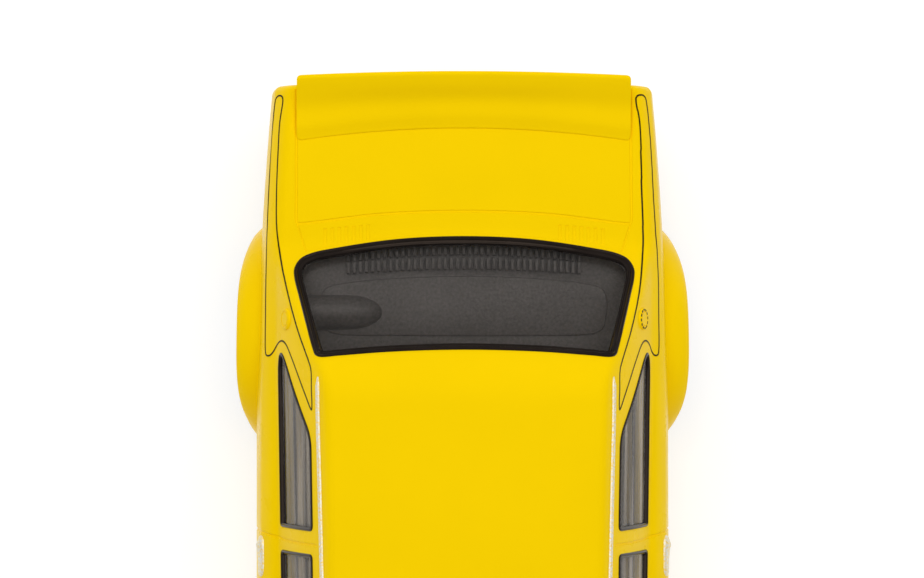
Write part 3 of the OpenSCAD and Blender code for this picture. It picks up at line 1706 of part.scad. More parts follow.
body_shell();
boot_spoiler();
front_air_dam();
grille();
headlamp_reflectors();
headlamp_lenses();
tail_lamp_lenses();
glazing();
windscreen_wipers();
door_mirror_left();
door_mirror_right();
interior_tray();
steering_wheel();
driver_torso();
driver_helmet();
chassis();
service_hatch();
hatch_screw();
body_screws();
traction_magnet();
exhaust_pipe();
rear_axle_bushes();
front_axle_bushes();
motor_can();
motor_end_bell();
motor_magnets();
motor_brushes();
motor_terminals();
motor_shaft();
armature_core();
armature_windings();
commutator();
pinion();
contact_plates();
lead_wire_left();
lead_wire_right();
guide();
pickup_braid_left();
pickup_braid_right();
rear_axle();
axle_gear();
rear_wheel_left();
rear_wheel_right();
rear_wheel_insert_left();
rear_wheel_insert_right();
rear_tyre_left();
rear_tyre_right();
front_axle();
front_wheel_left();
front_wheel_right();
front_wheel_insert_left();
front_wheel_insert_right();
front_tyre_left();
front_tyre_right();
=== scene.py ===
# %% [markdown]
# # A slot car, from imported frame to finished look
# The car is a toy racing saloon: a thin yellow moulding over a working chassis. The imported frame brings
# every working piece at its true size and place. This lesson keeps the frame and models what shows: the
# shell, the clear windows and their black seals, the spoiler, the wheels and the trim. All lengths in the
# helpers are millimetres, as on a drawing.

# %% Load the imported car
import json
import math

import bpy
from mathutils import Matrix, Vector
from mathutils.bvhtree import BVHTree

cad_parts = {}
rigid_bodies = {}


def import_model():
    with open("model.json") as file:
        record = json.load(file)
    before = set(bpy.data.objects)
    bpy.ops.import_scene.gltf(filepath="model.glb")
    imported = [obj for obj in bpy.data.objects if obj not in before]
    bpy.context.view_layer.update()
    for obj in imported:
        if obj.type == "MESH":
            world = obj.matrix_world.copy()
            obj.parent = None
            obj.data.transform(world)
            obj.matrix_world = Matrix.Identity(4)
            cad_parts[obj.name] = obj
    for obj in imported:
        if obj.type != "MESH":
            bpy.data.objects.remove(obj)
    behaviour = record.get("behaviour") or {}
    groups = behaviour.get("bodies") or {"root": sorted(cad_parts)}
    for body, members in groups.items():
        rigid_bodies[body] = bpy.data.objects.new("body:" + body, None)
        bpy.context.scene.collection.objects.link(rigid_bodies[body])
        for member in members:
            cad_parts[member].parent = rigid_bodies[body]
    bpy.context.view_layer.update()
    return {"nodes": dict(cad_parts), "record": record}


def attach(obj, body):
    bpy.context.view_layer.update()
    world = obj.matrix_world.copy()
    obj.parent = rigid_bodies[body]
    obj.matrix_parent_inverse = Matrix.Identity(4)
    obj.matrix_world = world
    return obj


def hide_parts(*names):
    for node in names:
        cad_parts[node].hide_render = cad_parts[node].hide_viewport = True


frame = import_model()
nodes = frame["nodes"]
MM = 0.001

# %% [markdown]
# ## Camera
# The photograph looks down on the rear half from well above the middle of the car, a little to one side. A
# long lens at that distance keeps the sides nearly upright. The camera leans only enough to bring the rear
# half into the frame.

# %% Camera
PHOTO_WIDTH = 924
PIXEL = 0.1211 * MM
EYE = Vector((-15.9, 0, 800)) * MM
AIM = Vector((-0.08, 37.66, 20)) * MM
SENSOR = 36


def make_camera():
    back = (EYE - AIM).normalized()
    right = Vector((1, 0, 0))
    right = (right - back * right.dot(back)).normalized()
    up = back.cross(right)
    bpy.ops.object.camera_add()
    camera = bpy.context.object
    camera.name = "camera"
    camera.matrix_world = Matrix.Translation(EYE) @ Matrix((right, up, back)).transposed().to_4x4()
    camera.data.sensor_width = SENSOR
    camera.data.lens = SENSOR * (EYE - AIM).length / (PHOTO_WIDTH * PIXEL)
    camera.data.clip_start = 0.01
    bpy.context.scene.camera = camera
    print("camera: lens", round(camera.data.lens, 1), "mm")


make_camera()

# %% [markdown]
# ## Light
# The studio is white all round: a large soft box overhead, two smaller ones at the sides and a bright
# surround, so that shadows stay faint and the paint shows its own colour. A small lamp near the tail draws
# fine glints on glossy beads. Each row of the list gives a lamp's name, place, aim and size in metres, and
# its watts.

# %% Light
SURROUND = 0.46
LIGHTS = [
    ("overhead", (0.05, 0.36, 1.05), (0, 0.02, 0), 1.1, 6.9),
    ("tail_side", (-0.55, 0.9, 0.75), (0, 0.03, 0.02), 0.6, 1.1),
    ("nose_side", (0.7, -0.8, 0.7), (0, 0, 0.02), 0.6, 0.3),
    ("glint", (-0.12, 0.3, 1.05), (0, 0.03, 0.03), 0.07, 0.35),
]


def make_lights():
    for name, place, aim, size, watts in LIGHTS:
        bpy.ops.object.light_add(type="AREA", location=place)
        light = bpy.context.object
        light.name = name
        light.data.size = size
        light.data.energy = watts
        light.rotation_euler = (Vector(place) - Vector(aim)).to_track_quat("Z", "Y").to_euler()
    world = bpy.data.worlds.new("studio")
    bpy.context.scene.world = world
    world.use_nodes = True
    background = world.node_tree.nodes["Background"]
    background.inputs["Color"].default_value = (1, 1, 1, 1)
    background.inputs["Strength"].default_value = SURROUND
    bpy.context.scene.view_settings.view_transform = "Standard"
    print("lights:", len(LIGHTS))


make_lights()

# %% [markdown]
# ## Helpers for modelling
# Most tools in Blender act on whatever is selected, so each helper first picks its own object and nothing
# else. A loft starts as a grid primitive with a row of points for each section, and every row is then
# pulled to its section. Curves go smoothly through a few given points.

# %% Select, edit and modify


def clear():
    if bpy.context.mode != "OBJECT":
        bpy.ops.object.mode_set(mode="OBJECT")
    bpy.ops.object.select_all(action="DESELECT")


def pick(obj):
    clear()
    obj.select_set(True)
    bpy.context.view_layer.objects.active = obj
    return obj


def edit(obj):
    pick(obj)
    bpy.ops.object.mode_set(mode="EDIT")
    bpy.ops.mesh.select_all(action="SELECT")


def modify(obj, kind, **settings):
    pick(obj)
    bpy.ops.object.modifier_add(type=kind)
    modifier = obj.modifiers[-1]
    for name, value in settings.items():
        setattr(modifier, name, value)
    bpy.ops.object.modifier_apply(modifier=modifier.name)
    return obj


def smooth(obj, angle=30):
    pick(obj)
    bpy.ops.object.shade_smooth_by_angle(angle=math.radians(angle))
    return obj


def turned_out(obj):
    edit(obj)
    bpy.ops.mesh.normals_make_consistent(inside=False)
    clear()
    return obj


# %% Loft, cut, join and copy
WELD = 1e-7


def loft(name, rows, around=True, caps=True):
    clear()
    lines = [list(row) + [row[0]] if around else list(row) for row in rows]
    across, along = len(lines[0]) - 1, len(lines) - 1
    bpy.ops.mesh.primitive_grid_add(x_subdivisions=across, y_subdivisions=along, size=1)
    obj = bpy.context.object
    obj.name = name
    obj.data.vertices.foreach_set("co", [c * MM for line in lines for p in line for c in p])
    edit(obj)
    bpy.ops.mesh.remove_doubles(threshold=WELD)
    if caps:
        bpy.ops.mesh.fill_holes(sides=0)
        bpy.ops.mesh.normals_make_consistent(inside=False)
    clear()
    return obj


def prism(name, outline, low, high, along="Z"):
    """Closed prism over a flat outline: (x, y) along Z, (y, z) along X and (x, z) along Y."""
    place = {"Z": lambda u, v, h: (u, v, h), "X": lambda u, v, h: (h, u, v), "Y": lambda u, v, h: (u, h, v)}
    return loft(name, [[place[along](*p, h) for p in outline] for h in (low, high)])


def cut(obj, tools, how="DIFFERENCE"):
    for tool in tools:
        modify(obj, "BOOLEAN", object=tool, operation=how, solver="MANIFOLD")
        bpy.data.objects.remove(tool)
    return obj


def joined(name, parts):
    clear()
    for part in parts:
        part.select_set(True)
    bpy.context.view_layer.objects.active = parts[0]
    bpy.ops.object.join()
    parts[0].name = name
    return parts[0]


def copied(obj, name):
    pick(obj)
    bpy.ops.object.duplicate()
    bpy.context.object.name = name
    return bpy.context.object


def mirrored(obj):
    """A copy on the other side of the car, with its own mesh and its faces turned out again."""
    copy = copied(obj, obj.name)
    copy.data.transform(Matrix.Scale(-1, 4, (1, 0, 0)))
    copy.data.flip_normals()
    return copy


def pair(obj):
    return [obj, mirrored(obj)]


# %% Numbers and curves
BLENDS = (((0, 1), (1, 2), (2, 3)), ((0, 2), (1, 3)), ((1, 2),))


def mix(a, b, t):
    return a + (b - a) * t


def clamp(v):
    return min(1.0, max(0.0, v))


def ramp(low, high, v):
    return clamp((v - low) / (high - low))


def steps(low, high, count):
    return [mix(low, high, k / count) for k in range(count + 1)]


def circle(count):
    return [(math.cos(a), math.sin(a)) for a in steps(0, 2 * math.pi, count)[:-1]]


def spline(points, count, closed=False):
    """Smooth curve through given points with count steps between two; uneven spacing makes no loops."""
    p = [Vector(q) for q in points]
    if closed:
        p = p[-1:] + p + p[:2]
    else:
        p = [2 * p[0] - p[1]] + p + [2 * p[-1] - p[-2]]
    line = []
    for four in zip(p, p[1:], p[2:], p[3:]):
        at = [0.0]
        for a, b in zip(four, four[1:]):
            at.append(at[-1] + math.sqrt((b - a).length))
        for v in steps(at[1], at[2], count)[:-1]:
            level = four
            for spans in BLENDS:
                shares = [(v - at[i]) / (at[k] - at[i]) for i, k in spans]
                level = [a.lerp(b, share) for a, b, share in zip(level, level[1:], shares)]
            line.append(level[0])
    return line if closed else line + [p[-2]]


# %% [markdown]
# ## Tools for finishes
# A finish is a node material on object coordinates, so that it sticks to its piece. One helper adds a node
# and feeds it: a plain number or colour is set on the socket itself, and the output of another node is
# linked to it. Noise in two tones keeps a colour from looking flat, and a fine one gives the grain as a low
# bump.

# %% Tools for finishes


def new_material(name):
    material = bpy.data.materials.new(name)
    material.use_nodes = True
    tree = material.node_tree
    return material, tree, tree.nodes["Principled BSDF"]


def feed(tree, target, inputs):
    for name, value in inputs.items():
        if isinstance(value, bpy.types.NodeSocket):
            tree.links.new(value, target.inputs[name])
        else:
            target.inputs[name].default_value = value


def add_node(tree, kind, inputs, **settings):
    node = tree.nodes.new("ShaderNode" + kind)
    for name, value in settings.items():
        setattr(node, name, value)
    feed(tree, node, inputs)
    return node.outputs


def noise(tree, size, detail=3.0, stretch=(1, 1, 1)):
    """Noise with spots of about the given size in millimetres, longer along an axis with a small stretch."""
    coords = add_node(tree, "TexCoord", {})["Object"]
    place = add_node(tree, "Mapping", {"Vector": coords, "Scale": stretch})["Vector"]
    return add_node(tree, "TexNoise", {"Vector": place, "Scale": 1 / (size * MM), "Detail": detail})["Fac"]


def ranged(tree, value, low, high, start=0.32, end=0.68):
    limits = {"Value": value, "From Min": start, "From Max": end, "To Min": low, "To Max": high}
    return add_node(tree, "MapRange", limits)["Result"]


def toned(tree, share, first, second):
    return add_node(tree, "Mix", {0: share, 6: (*first, 1), 7: (*second, 1)}, data_type="RGBA")[2]


def grain(tree, shader, height, depth, strength=0.4):
    bump = add_node(tree, "Bump", {"Strength": strength, "Distance": depth * MM, "Height": height})
    feed(tree, shader, {"Normal": bump["Normal"]})


# %% [markdown]
# ## Floor
# The floor is a pale plane at the track's level. Its middle is open under the guide, whose blade reaches
# into the slot of a track. It is lofted from a small ring to a wide one. A little light of its own keeps it
# white.

# %% Floor
FLOOR_RINGS = [((0, -51.5), 10.2), ((0, 0), 300), ((0, 0), 2500)]
FLOOR_TONES, FLOOR_GLOW, FLOOR_ROUGH = (0.43, 0.47), 0.66, 0.8


def make_floor():
    rows = [[(x + r * u, y + r * v, 0) for u, v in circle(96)] for (x, y), r in FLOOR_RINGS]
    floor = loft("floor", rows, caps=False)
    material, tree, shader = new_material("floor_white")
    feed(tree, shader, {
        "Base Color": ranged(tree, noise(tree, 25, 2.0), *FLOOR_TONES, 0, 1), "Roughness": FLOOR_ROUGH,
        "Emission Color": (1, 1, 1, 1), "Emission Strength": FLOOR_GLOW})
    material.cycles.emission_sampling = "NONE"
    floor.data.materials.append(material)
    print("floor:", len(floor.data.polygons), "faces")


make_floor()

# %% [markdown]
# ## Form of the body
# The outer form is one loft from nose to tail. Each section climbs the flank, rolls over the shoulder and
# crosses the top. The cabin is the lowest of four surfaces, two sides, the rear window and the windscreen,
# under the roof. Where two of them meet, a soft minimum rounds the edge, and a soft maximum makes the small
# fillet between cabin and body.

# %% Edges of the body
BODY_HALF, NOSE_Y, TAIL_Y = 24.95, -62.0, 62.0
NOSE_TAPER, TAIL_TAPER, TAPER_START = 2.4, 1.9, 20.0
BELT, WAIST, SILL = 27.6, 17.0, 4.0
BONNET_FALL, BOOT_FALL, VALANCE_RISE = 3.2, 1.2, 4.0
SHOULDER_WIDTH, SHOULDER_DROP, SKIN_CROWN = 3.0, 2.6, 0.7
SILL_TUCK, CREASE_LEAN = 1.6, 0.6
CREASE = BELT - SHOULDER_DROP
REAR_AXLE_Y, FRONT_AXLE_Y, AXLE_Z = 32.2, -42.8, 9.6
LIGHT_BASE_Y, ROOF_REAR_Y, ROOF_FRONT_Y, SCREEN_BASE_Y = 44.8, 28.8, -11.5, -25.0


def half_width(y):
    nose, tail = ramp(-TAPER_START, NOSE_Y, y), ramp(TAPER_START, TAIL_Y, y)
    return BODY_HALF - NOSE_TAPER * nose ** 2 - TAIL_TAPER * tail ** 2


def top_edge(y):
    bonnet, boot = ramp(SCREEN_BASE_Y, NOSE_Y, y), ramp(LIGHT_BASE_Y, TAIL_Y, y)
    return BELT - BONNET_FALL * bonnet ** 1.6 - BOOT_FALL * boot ** 1.4


def lower_edge(y):
    return SILL + VALANCE_RISE * (ramp(FRONT_AXLE_Y, NOSE_Y, y) + ramp(REAR_AXLE_Y, TAIL_Y, y))


def flank(w, z):
    if z < WAIST:
        return w - SILL_TUCK * ((WAIST - z) / (WAIST - SILL)) ** 2
    return w - CREASE_LEAN * ((z - WAIST) / (CREASE - WAIST)) ** 2


print("body:", 2 * BODY_HALF, "mm wide,", TAIL_Y - NOSE_Y, "mm long")

# %% Cabin
CABIN_HALF, TUMBLEHOME, BARREL, CABIN_TAPER = 22.5, 5.0, 0.4, 0.9
ROOF_EDGE, ROOF_TOP, ROOF_CROWN = 38.2, 41.0, 1.2
CABIN_RISE = ROOF_EDGE - BELT
ROOF_HALF_WIDTH, ROOF_HALF_LENGTH = 17, 22
REAR_BOWS, SCREEN_BOWS = (3.0, 0.9), (2.6, 1.0)
SIDE_INSET, REAR_INSET, SCREEN_INSET = 1.1, 1.8, 1.6
PILLAR_ROUND, ENDS_ROUND, ROOF_ROUND, CABIN_FILLET = 0.16, 0.1, 1.4, 0.7


def soft_min(a, b, k):
    h = max(k - abs(a - b), 0.0) / k
    return min(a, b) - h * h * k / 4


def soft_max(a, b, k):
    return -soft_min(-a, -b, k)


def end_share(share, x, reach, depth, bows):
    """Better guess of an end window's height as a share of the cabin's; its bow shrinks towards the roof."""
    share = clamp(share)
    return (reach - mix(*bows, share) * (x / (CABIN_HALF - TUMBLEHOME * share)) ** 2) / depth


def cabin_height(x, y, inset=0.0):
    """Height of the cabin over a point of the plan; an inset of the wall gives the inside of the moulding."""
    x = abs(x) + SIDE_INSET * inset
    half = CABIN_HALF - CABIN_TAPER * ramp(ROOF_REAR_Y, SCREEN_BASE_Y, y)
    rear_reach = LIGHT_BASE_Y - y - REAR_INSET * inset
    front_reach = y - SCREEN_BASE_Y - SCREEN_INSET * inset
    side = rear = front = 0.5
    for _ in range(6):
        side = (half - x + BARREL * math.sin(math.pi * clamp(side))) / TUMBLEHOME
        rear = end_share(rear, x, rear_reach, LIGHT_BASE_Y - ROOF_REAR_Y, REAR_BOWS)
        front = end_share(front, x, front_reach, ROOF_FRONT_Y - SCREEN_BASE_Y, SCREEN_BOWS)
    middle = (ROOF_REAR_Y + ROOF_FRONT_Y) / 2
    dome = (1 - (x / ROOF_HALF_WIDTH) ** 2) * (1 - ((y - middle) / ROOF_HALF_LENGTH) ** 2)
    ends = soft_min(rear, front, ENDS_ROUND)
    wall = soft_min(side, ends, PILLAR_ROUND) * CABIN_RISE + BELT
    return soft_min(wall, ROOF_TOP - inset - ROOF_CROWN * (1 - dome), ROOF_ROUND)


print("cabin:", CABIN_RISE, "mm above the belt")

# %% Sections
NOSE_ROUND, TAIL_ROUND, WALL, STATIONS = 2.7, 0.8, 1.2, 190
FLANK_STEPS, SHOULDER_STEPS, TOP_STEPS = 18, 12, 44
KNEE_SHARE, KNEE_RISE = 0.6, 0.06


def curved(start, knee, end, t):
    """Point of a curve that leaves its start and reaches its end in the direction of the knee."""
    return [(1 - t) ** 2 * a + 2 * t * (1 - t) * b + t ** 2 * c for a, b, c in zip(start, knee, end)]


def half_section(y, inset, foot, wall):
    """Points (x, z) at +x from the foot to the centre line, closer together near the shoulder."""
    w, top = half_width(y) - inset, top_edge(y) - inset
    edge = w - SHOULDER_WIDTH
    sides = [(flank(w, z), z) for z in steps(foot, top - SHOULDER_DROP, FLANK_STEPS)]
    knee = (w - KNEE_SHARE * SHOULDER_WIDTH, top + KNEE_RISE)
    tops = [curved(sides[-1], knee, (edge, top), t) for t in steps(0, 1, SHOULDER_STEPS)[1:]]
    for t in steps(0, 1, TOP_STEPS)[1:]:
        x = edge * (1 - (0.45 * t + 0.55 * t ** 2.2))
        tops.append((x, top + SKIN_CROWN * (1 - (x / edge) ** 2)))
    return sides + [(x, soft_max(z, cabin_height(x, y, wall), CABIN_FILLET)) for x, z in tops]


def section(y, inset=0.0, foot=None, wall=0.0):
    half = half_section(y, inset, lower_edge(y) if foot is None else foot, wall)
    return [(-x, y, z) for x, z in half] + [(x, y, z) for x, z in reversed(half[:-1])]


def stations():
    """Places of the sections, with the rounding of nose and tail as a growing inset."""
    turns = [math.radians(a) for a in range(0, 90, 15)]
    nose = [(NOSE_Y + NOSE_ROUND * (1 - math.cos(a)), NOSE_ROUND * (1 - math.sin(a))) for a in turns]
    tail = [(TAIL_Y - TAIL_ROUND * (1 - math.cos(a)), TAIL_ROUND * (1 - math.sin(a))) for a in turns]
    middle = steps(NOSE_Y + NOSE_ROUND, TAIL_Y - TAIL_ROUND, STATIONS)
    return nose + [(y, 0.0) for y in middle] + tail[::-1]


form = smooth(loft("body_form", [section(y, inset) for y, inset in stations()]), 40)
surface = BVHTree.FromObject(form, bpy.context.evaluated_depsgraph_get())
print("form:", len(form.data.polygons), "faces")

# %% [markdown]
# ## Moulded shell
# The real shell is one injection moulding about a millimetre thick. It is made in the order a toolmaker
# thinks: the outer form with its flared arches, then the hollow, then the openings. Booleans keep the edges
# crisp where a cutter would.

# %% Flared arches
ARCH_R, FLARE_OUT, FLARE_ROOT = 10.9, 2.8, 4
FLARES = {"rear_flare": (REAR_AXLE_Y, 3.9, 2.3), "front_flare": (FRONT_AXLE_Y, 2.9, 2.6)}
FOOT_REACH, LIP_INSIDE, LIP_EDGE, LIP_ROUND = 1.5, 0.6, 0.35, 0.5
FOOT_FALLS, FLARE_SINK, FLARE_CURVE = (0.45, 0.75), 2.2, 2.4


def flare(name, axle_y, rear_reach, front_reach):
    """Lip round a wheel on the side of +x; its reach falls towards both feet, faster ahead of the wheel."""
    foot_r, inner = ARCH_R + FOOT_REACH, ARCH_R - LIP_INSIDE
    low = math.asin((lower_edge(axle_y + foot_r) - AXLE_Z) / foot_r)
    high = math.pi - math.asin((lower_edge(axle_y - foot_r) - AXLE_Z) / foot_r)
    rows = []
    for a in steps(low, high, 72):
        ahead = (1 - math.cos(a)) / 2
        outer = ARCH_R + mix(rear_reach, front_reach, ahead)
        wide = half_width(axle_y + ARCH_R * math.cos(a))
        lip = wide + FLARE_OUT * (1 - mix(*FOOT_FALLS, ahead) * abs(math.cos(a)) ** 4)
        row = []
        for t in steps(0, 1, 16):
            r = mix(inner, outer, t)
            edge = LIP_EDGE * (1 - clamp((r - ARCH_R) / LIP_ROUND)) ** 2
            row.append((mix(lip, wide - FLARE_SINK, t ** FLARE_CURVE) - edge, r))
        row += [(wide - FLARE_ROOT, outer), (wide - FLARE_ROOT, inner)]
        rows.append([(x, axle_y + r * math.cos(a), AXLE_Z + r * math.sin(a)) for x, r in row])
    return loft(name, rows)


shell = copied(form, "body_shell_moulding")
for name, reaches in FLARES.items():
    cut(shell, pair(flare(name, *reaches)), "UNION")
print("shell with flares:", len(shell.data.polygons), "faces")

# %% Hollow and wheel openings
HOLLOW_FOOT, HOLLOW_STATIONS = -2.0, 120
ARCH_INSIDE, ARCH_OUTSIDE = 12.8, 36.8
BACK_INSIDE, BACK_OUT, BACK_GROWTH = 12.7, 0.2, 0.9


def drum(name, x0, x1, r, axle_y):
    return loft(name, [[(x, axle_y + r * u, AXLE_Z + r * v) for u, v in circle(128)] for x in (x0, x1)])


hollow_places = steps(NOSE_Y + WALL, TAIL_Y - WALL, HOLLOW_STATIONS)
cut(shell, [loft("hollow", [section(y, WALL, HOLLOW_FOOT, WALL) for y in hollow_places])])
for axle_y in (REAR_AXLE_Y, FRONT_AXLE_Y):
    cut(shell, pair(drum("arch", ARCH_INSIDE, ARCH_OUTSIDE, ARCH_R, axle_y)))
    back_end = half_width(axle_y) + BACK_OUT
    cut(shell, pair(drum("arch_back", BACK_INSIDE, back_end, ARCH_R + BACK_GROWTH, axle_y)))
print("hollow shell:", len(shell.data.polygons), "faces")

# %% [markdown]
# ## Windows
# The clear windows of such a toy are one moulding pushed in from below, with a raised pane in each opening.
# A black seal is printed round each pane, with a low step along its inner edge. Outlines of the end windows
# are drawn in plan and those of the side windows in side view. Rays cast on the form carry them to the
# curved surface.

# %% Window outlines
REAR_HALF = [(0, 43.5), (8, 43.15), (15, 42.15), (18.3, 41.45), (19.6, 40.75), (20.25, 39.6), (20.2, 38.4),
             (19.75, 36.5), (19.0, 33.5), (18.0, 29.7), (17.75, 29.1), (17.2, 28.85), (15, 29.0), (9, 29.45),
             (0, 29.7)]
SCREEN_HALF = [(0, -23.8), (9, -23.5), (16.6, -22.75), (18.6, -22.2), (19.3, -21.2), (18.95, -19.5),
               (18.3, -16.8), (17.5, -13.4), (17.2, -12.5), (16.4, -12.0), (9, -12.2), (0, -12.4)]
QUARTER = [(32.0, 28.4, 1.6), (19.4, 36.55, 5.5), (8.2, 36.55, 0.6), (8.9, 28.3, 0.6)]
DOOR = [(6.05, 28.3, 0.6), (5.35, 36.4, 0.6), (-9.4, 36.4, 1.2), (-18.4, 28.3, 0.7)]


def both_halves(half):
    return spline(half + [(-x, y) for x, y in half[-2:0:-1]], 6, closed=True)


def rounded(corners):
    """Closed outline of (u, v, radius) corners with round arcs, and points along its straight sides."""
    arcs = []
    for i, (u, v, r) in enumerate(corners):
        corner = Vector((u, v))
        before = (Vector(corners[i - 1][:2]) - corner).normalized()
        after = (Vector(corners[(i + 1) % len(corners)][:2]) - corner).normalized()
        reach = r / math.tan(before.angle(after) / 2)
        start, end = corner + before * reach, corner + after * reach
        arcs.append([start.lerp(corner, t).lerp(corner.lerp(end, t), t) for t in steps(0, 1, 8)])
    line = []
    for arc, following in zip(arcs, arcs[1:] + arcs[:1]):
        line += arc + [arc[-1].lerp(following[0], t) for t in steps(0, 1, 12)[1:-1]]
    return line


def shrunk(outline, share):
    centre = sum(outline, Vector((0, 0))) / len(outline)
    return [centre.lerp(p, share) for p in outline]


rear_outline, screen_outline = both_halves(REAR_HALF), both_halves(SCREEN_HALF)
quarter_outline, door_outline = rounded(QUARTER), rounded(DOOR)
print("outlines:", [len(o) for o in (rear_outline, screen_outline, quarter_outline, door_outline)], "points")

# %% Window openings
HOLE_SHARE = 0.985
END_HOLE, SIDE_HOLE = (BELT - 1, 60), (12, 40)
for outline in (rear_outline, screen_outline):
    cut(shell, [prism("end_hole", shrunk(outline, HOLE_SHARE), *END_HOLE)])
for outline in (quarter_outline, door_outline):
    cut(shell, pair(prism("side_hole", shrunk(outline, HOLE_SHARE), *SIDE_HOLE, "X")))
print("shell with windows:", len(shell.data.polygons), "faces")

# %% Lines laid on the form
ABOVE, BESIDE = 80, 60


def cast(start, way):
    hit, normal, _, _ = surface.ray_cast(Vector(start) * MM, Vector(way))
    return hit / MM, normal


def dropped(x, y):
    return cast((x, y, ABOVE), (0, 0, -1))


def poked(y, z):
    return cast((BESIDE, y, z), (-1, 0, 0))


def laid(outline, reach, closed=True):
    """Points of an outline on the form, each with a normal averaged over its neighbours."""
    hits = [reach(*p) for p in outline]
    n = len(hits)
    rows = []
    for i, (point, _) in enumerate(hits):
        near = [(i + k) % n if closed else min(max(i + k, 0), n - 1) for k in (-2, -1, 0, 1, 2)]
        rows.append((point, sum((hits[k][1] for k in near), Vector()).normalized()))
    return rows


def band(name, rows, profile, closed=True, centre=None):
    """Profile of (across, out) points swept along a surface; across points to the centre, if one is given."""
    n = len(rows)
    rings = []
    for i, (point, normal) in enumerate(rows):
        ahead = rows[(i + 1) % n if closed else min(i + 1, n - 1)][0]
        behind = rows[i - 1 if closed else max(i - 1, 0)][0]
        across = normal.cross(ahead - behind).normalized()
        if centre and across.dot(centre - point) < 0:
            across.negate()
        rings.append([point + across * b + normal * h for b, h in profile])
    return turned_out(loft(name, rings + rings[:1] if closed else rings, caps=not closed))


def on_all_windows(name, make):
    """A piece for each window, as one object; those of the side windows are copied to the other side."""
    parts = [make(outline, dropped) for outline in (rear_outline, screen_outline)]
    for outline in (quarter_outline, door_outline):
        parts += pair(make(outline, poked))
    whole = joined(name, parts)
    print(name, len(whole.data.polygons), "faces")
    return whole


# %% Window seals
SEAL = [(-0.1, -0.5), (-0.1, 0.05), (0.0, 0.17), (0.22, 0.2), (0.36, 0.1), (0.42, -0.02), (0.62, -0.05),
        (0.7, 0.03), (0.82, 0.02), (0.9, -0.12), (0.9, -0.5)]
SLIM_SEAL = [(-0.08, -0.5), (-0.08, 0.04), (0.0, 0.12), (0.2, 0.14), (0.28, 0.04), (0.38, 0.0), (0.43, -0.1),
             (0.43, -0.5)]


def seal(outline, reach):
    """Seal of one window; that of a side window is slimmer and has no step."""
    rows = laid(outline, reach)
    centre = sum((p for p, _ in rows), Vector()) / len(rows)
    return smooth(band("seal", rows, SLIM_SEAL if reach is poked else SEAL, centre=centre), 35)


window_seals = on_all_windows("window_seals", seal)

# %% Clear panes
GLASS_DROP, GLASS_T = 0.3, 0.8
RING_SHARES = (1e-4, 0.12, 0.3, 0.5, 0.68, 0.82, 0.92, 0.97)


def pane(outline, reach):
    """Rings from the middle to under the seal, once on the outer and once on the inner side of the glass."""
    rings = [[reach(*p) for p in shrunk(outline, share)] for share in RING_SHARES]
    top = [[p - n * GLASS_DROP for p, n in ring] for ring in rings]
    low = [[p - n * (GLASS_DROP + GLASS_T) for p, n in ring] for ring in rings]
    for rows in (top, low):
        middle = sum(rows[0], Vector()) / len(rows[0])
        rows[0] = [middle] * len(rows[0])
    return smooth(turned_out(loft("pane", top + low[::-1], caps=False)), 40)


clear_windows = on_all_windows("clear_windows", pane)

# %% [markdown]
# ## Shut lines and slots
# Doors, boot lid and bonnet of the toy don't open: their gaps are fine grooves in the mould. Each groove is
# a narrow wedge swept along a line on the form and taken out of the shell. The slots ahead of the boot lid
# are cut the same way.

# %% Shut lines
GROOVE = [(-0.3, 0.35), (0.3, 0.35), (0.17, 0.0), (0.11, -0.09), (-0.11, -0.09), (-0.17, 0.0)]
CREASE_GROOVE = [(-0.4, 0.3), (0.4, 0.3), (0.14, 0.0), (0.0, -0.08), (-0.14, 0.0)]
LID_HALF = [(20.1, 61.4), (20.1, 55), (20.1, 48), (20.1, 45.6), (20.0, 45.22), (19.6, 45.15), (10, 46.25),
            (0, 46.6)]
BONNET_HALF = [(19.0, -61), (19.6, -52), (20.4, -40), (20.5, -27.5), (20.2, -25.9), (19.2, -25.4),
               (10, -26.4), (0, -26.7)]
DOOR_LINE = [(6.5, 37.3), (7.0, 32.0), (7.5, 28.3), (8.2, 25.6), (8.6, 23), (8.7, 11), (8.3, 7.6), (6.6, 6.2),
             (0, 6.1), (-16, 6.1), (-18.6, 6.6), (-19.4, 8.4), (-19.9, 17), (-19.9, 24.5), (-19.5, 26.9)]
FOLD_LINE = [(20.0, 45.1), (19.5, 43.6), (18.9, 41.7)]


def groove(name, line, reach, profile=GROOVE):
    return band(name, laid(line, reach, closed=False), profile, closed=False)


for half in (LID_HALF, BONNET_HALF):
    whole = spline(half + [(-x, y) for x, y in half[-2::-1]], 8)
    cut(shell, [groove("lid_line", whole, dropped)])
cut(shell, pair(groove("fold_line", spline(FOLD_LINE, 6), dropped, CREASE_GROOVE)))
cut(shell, pair(groove("door_line", spline(DOOR_LINE, 8), poked)))
print("shell with shut lines:", len(shell.data.polygons), "faces")

# %% Slots ahead of the boot lid
SLOT = [(-0.4, 0.4), (0.4, 0.4), (0.24, 0.0), (0.12, -0.07), (-0.12, -0.07), (-0.24, 0.0)]
SLOTS, SLOT_X, SLOT_PITCH = 7, 11.5, 0.86
SLOT_Y, SLOT_LENGTH, SLOT_BOW, SLOT_SPAN = 43.5, 1.9, 0.9, 17
for k in range(SLOTS):
    x = SLOT_X + SLOT_PITCH * k
    y = SLOT_Y - SLOT_BOW * (x / SLOT_SPAN) ** 2
    line = [Vector((x, v)) for v in steps(y, y + SLOT_LENGTH, 6)]
    cut(shell, pair(groove("slot", line, dropped, SLOT)))
print("shell with slots:", len(shell.data.polygons), "faces")

# %% Openings in nose and tail
NOSE_PANEL, NOSE_PANEL_ROUND = (19.4, 17.6, 3.7), 1.2
TAIL_LAMP, TAIL_LAMP_ROUND, LAMP_RECESS = (15.7, 19.8, 4.2, 1.7), 0.3, 0.6
MIRROR_FOOT, MIRROR_HOLE_R = (22.97, -18.5), 0.95


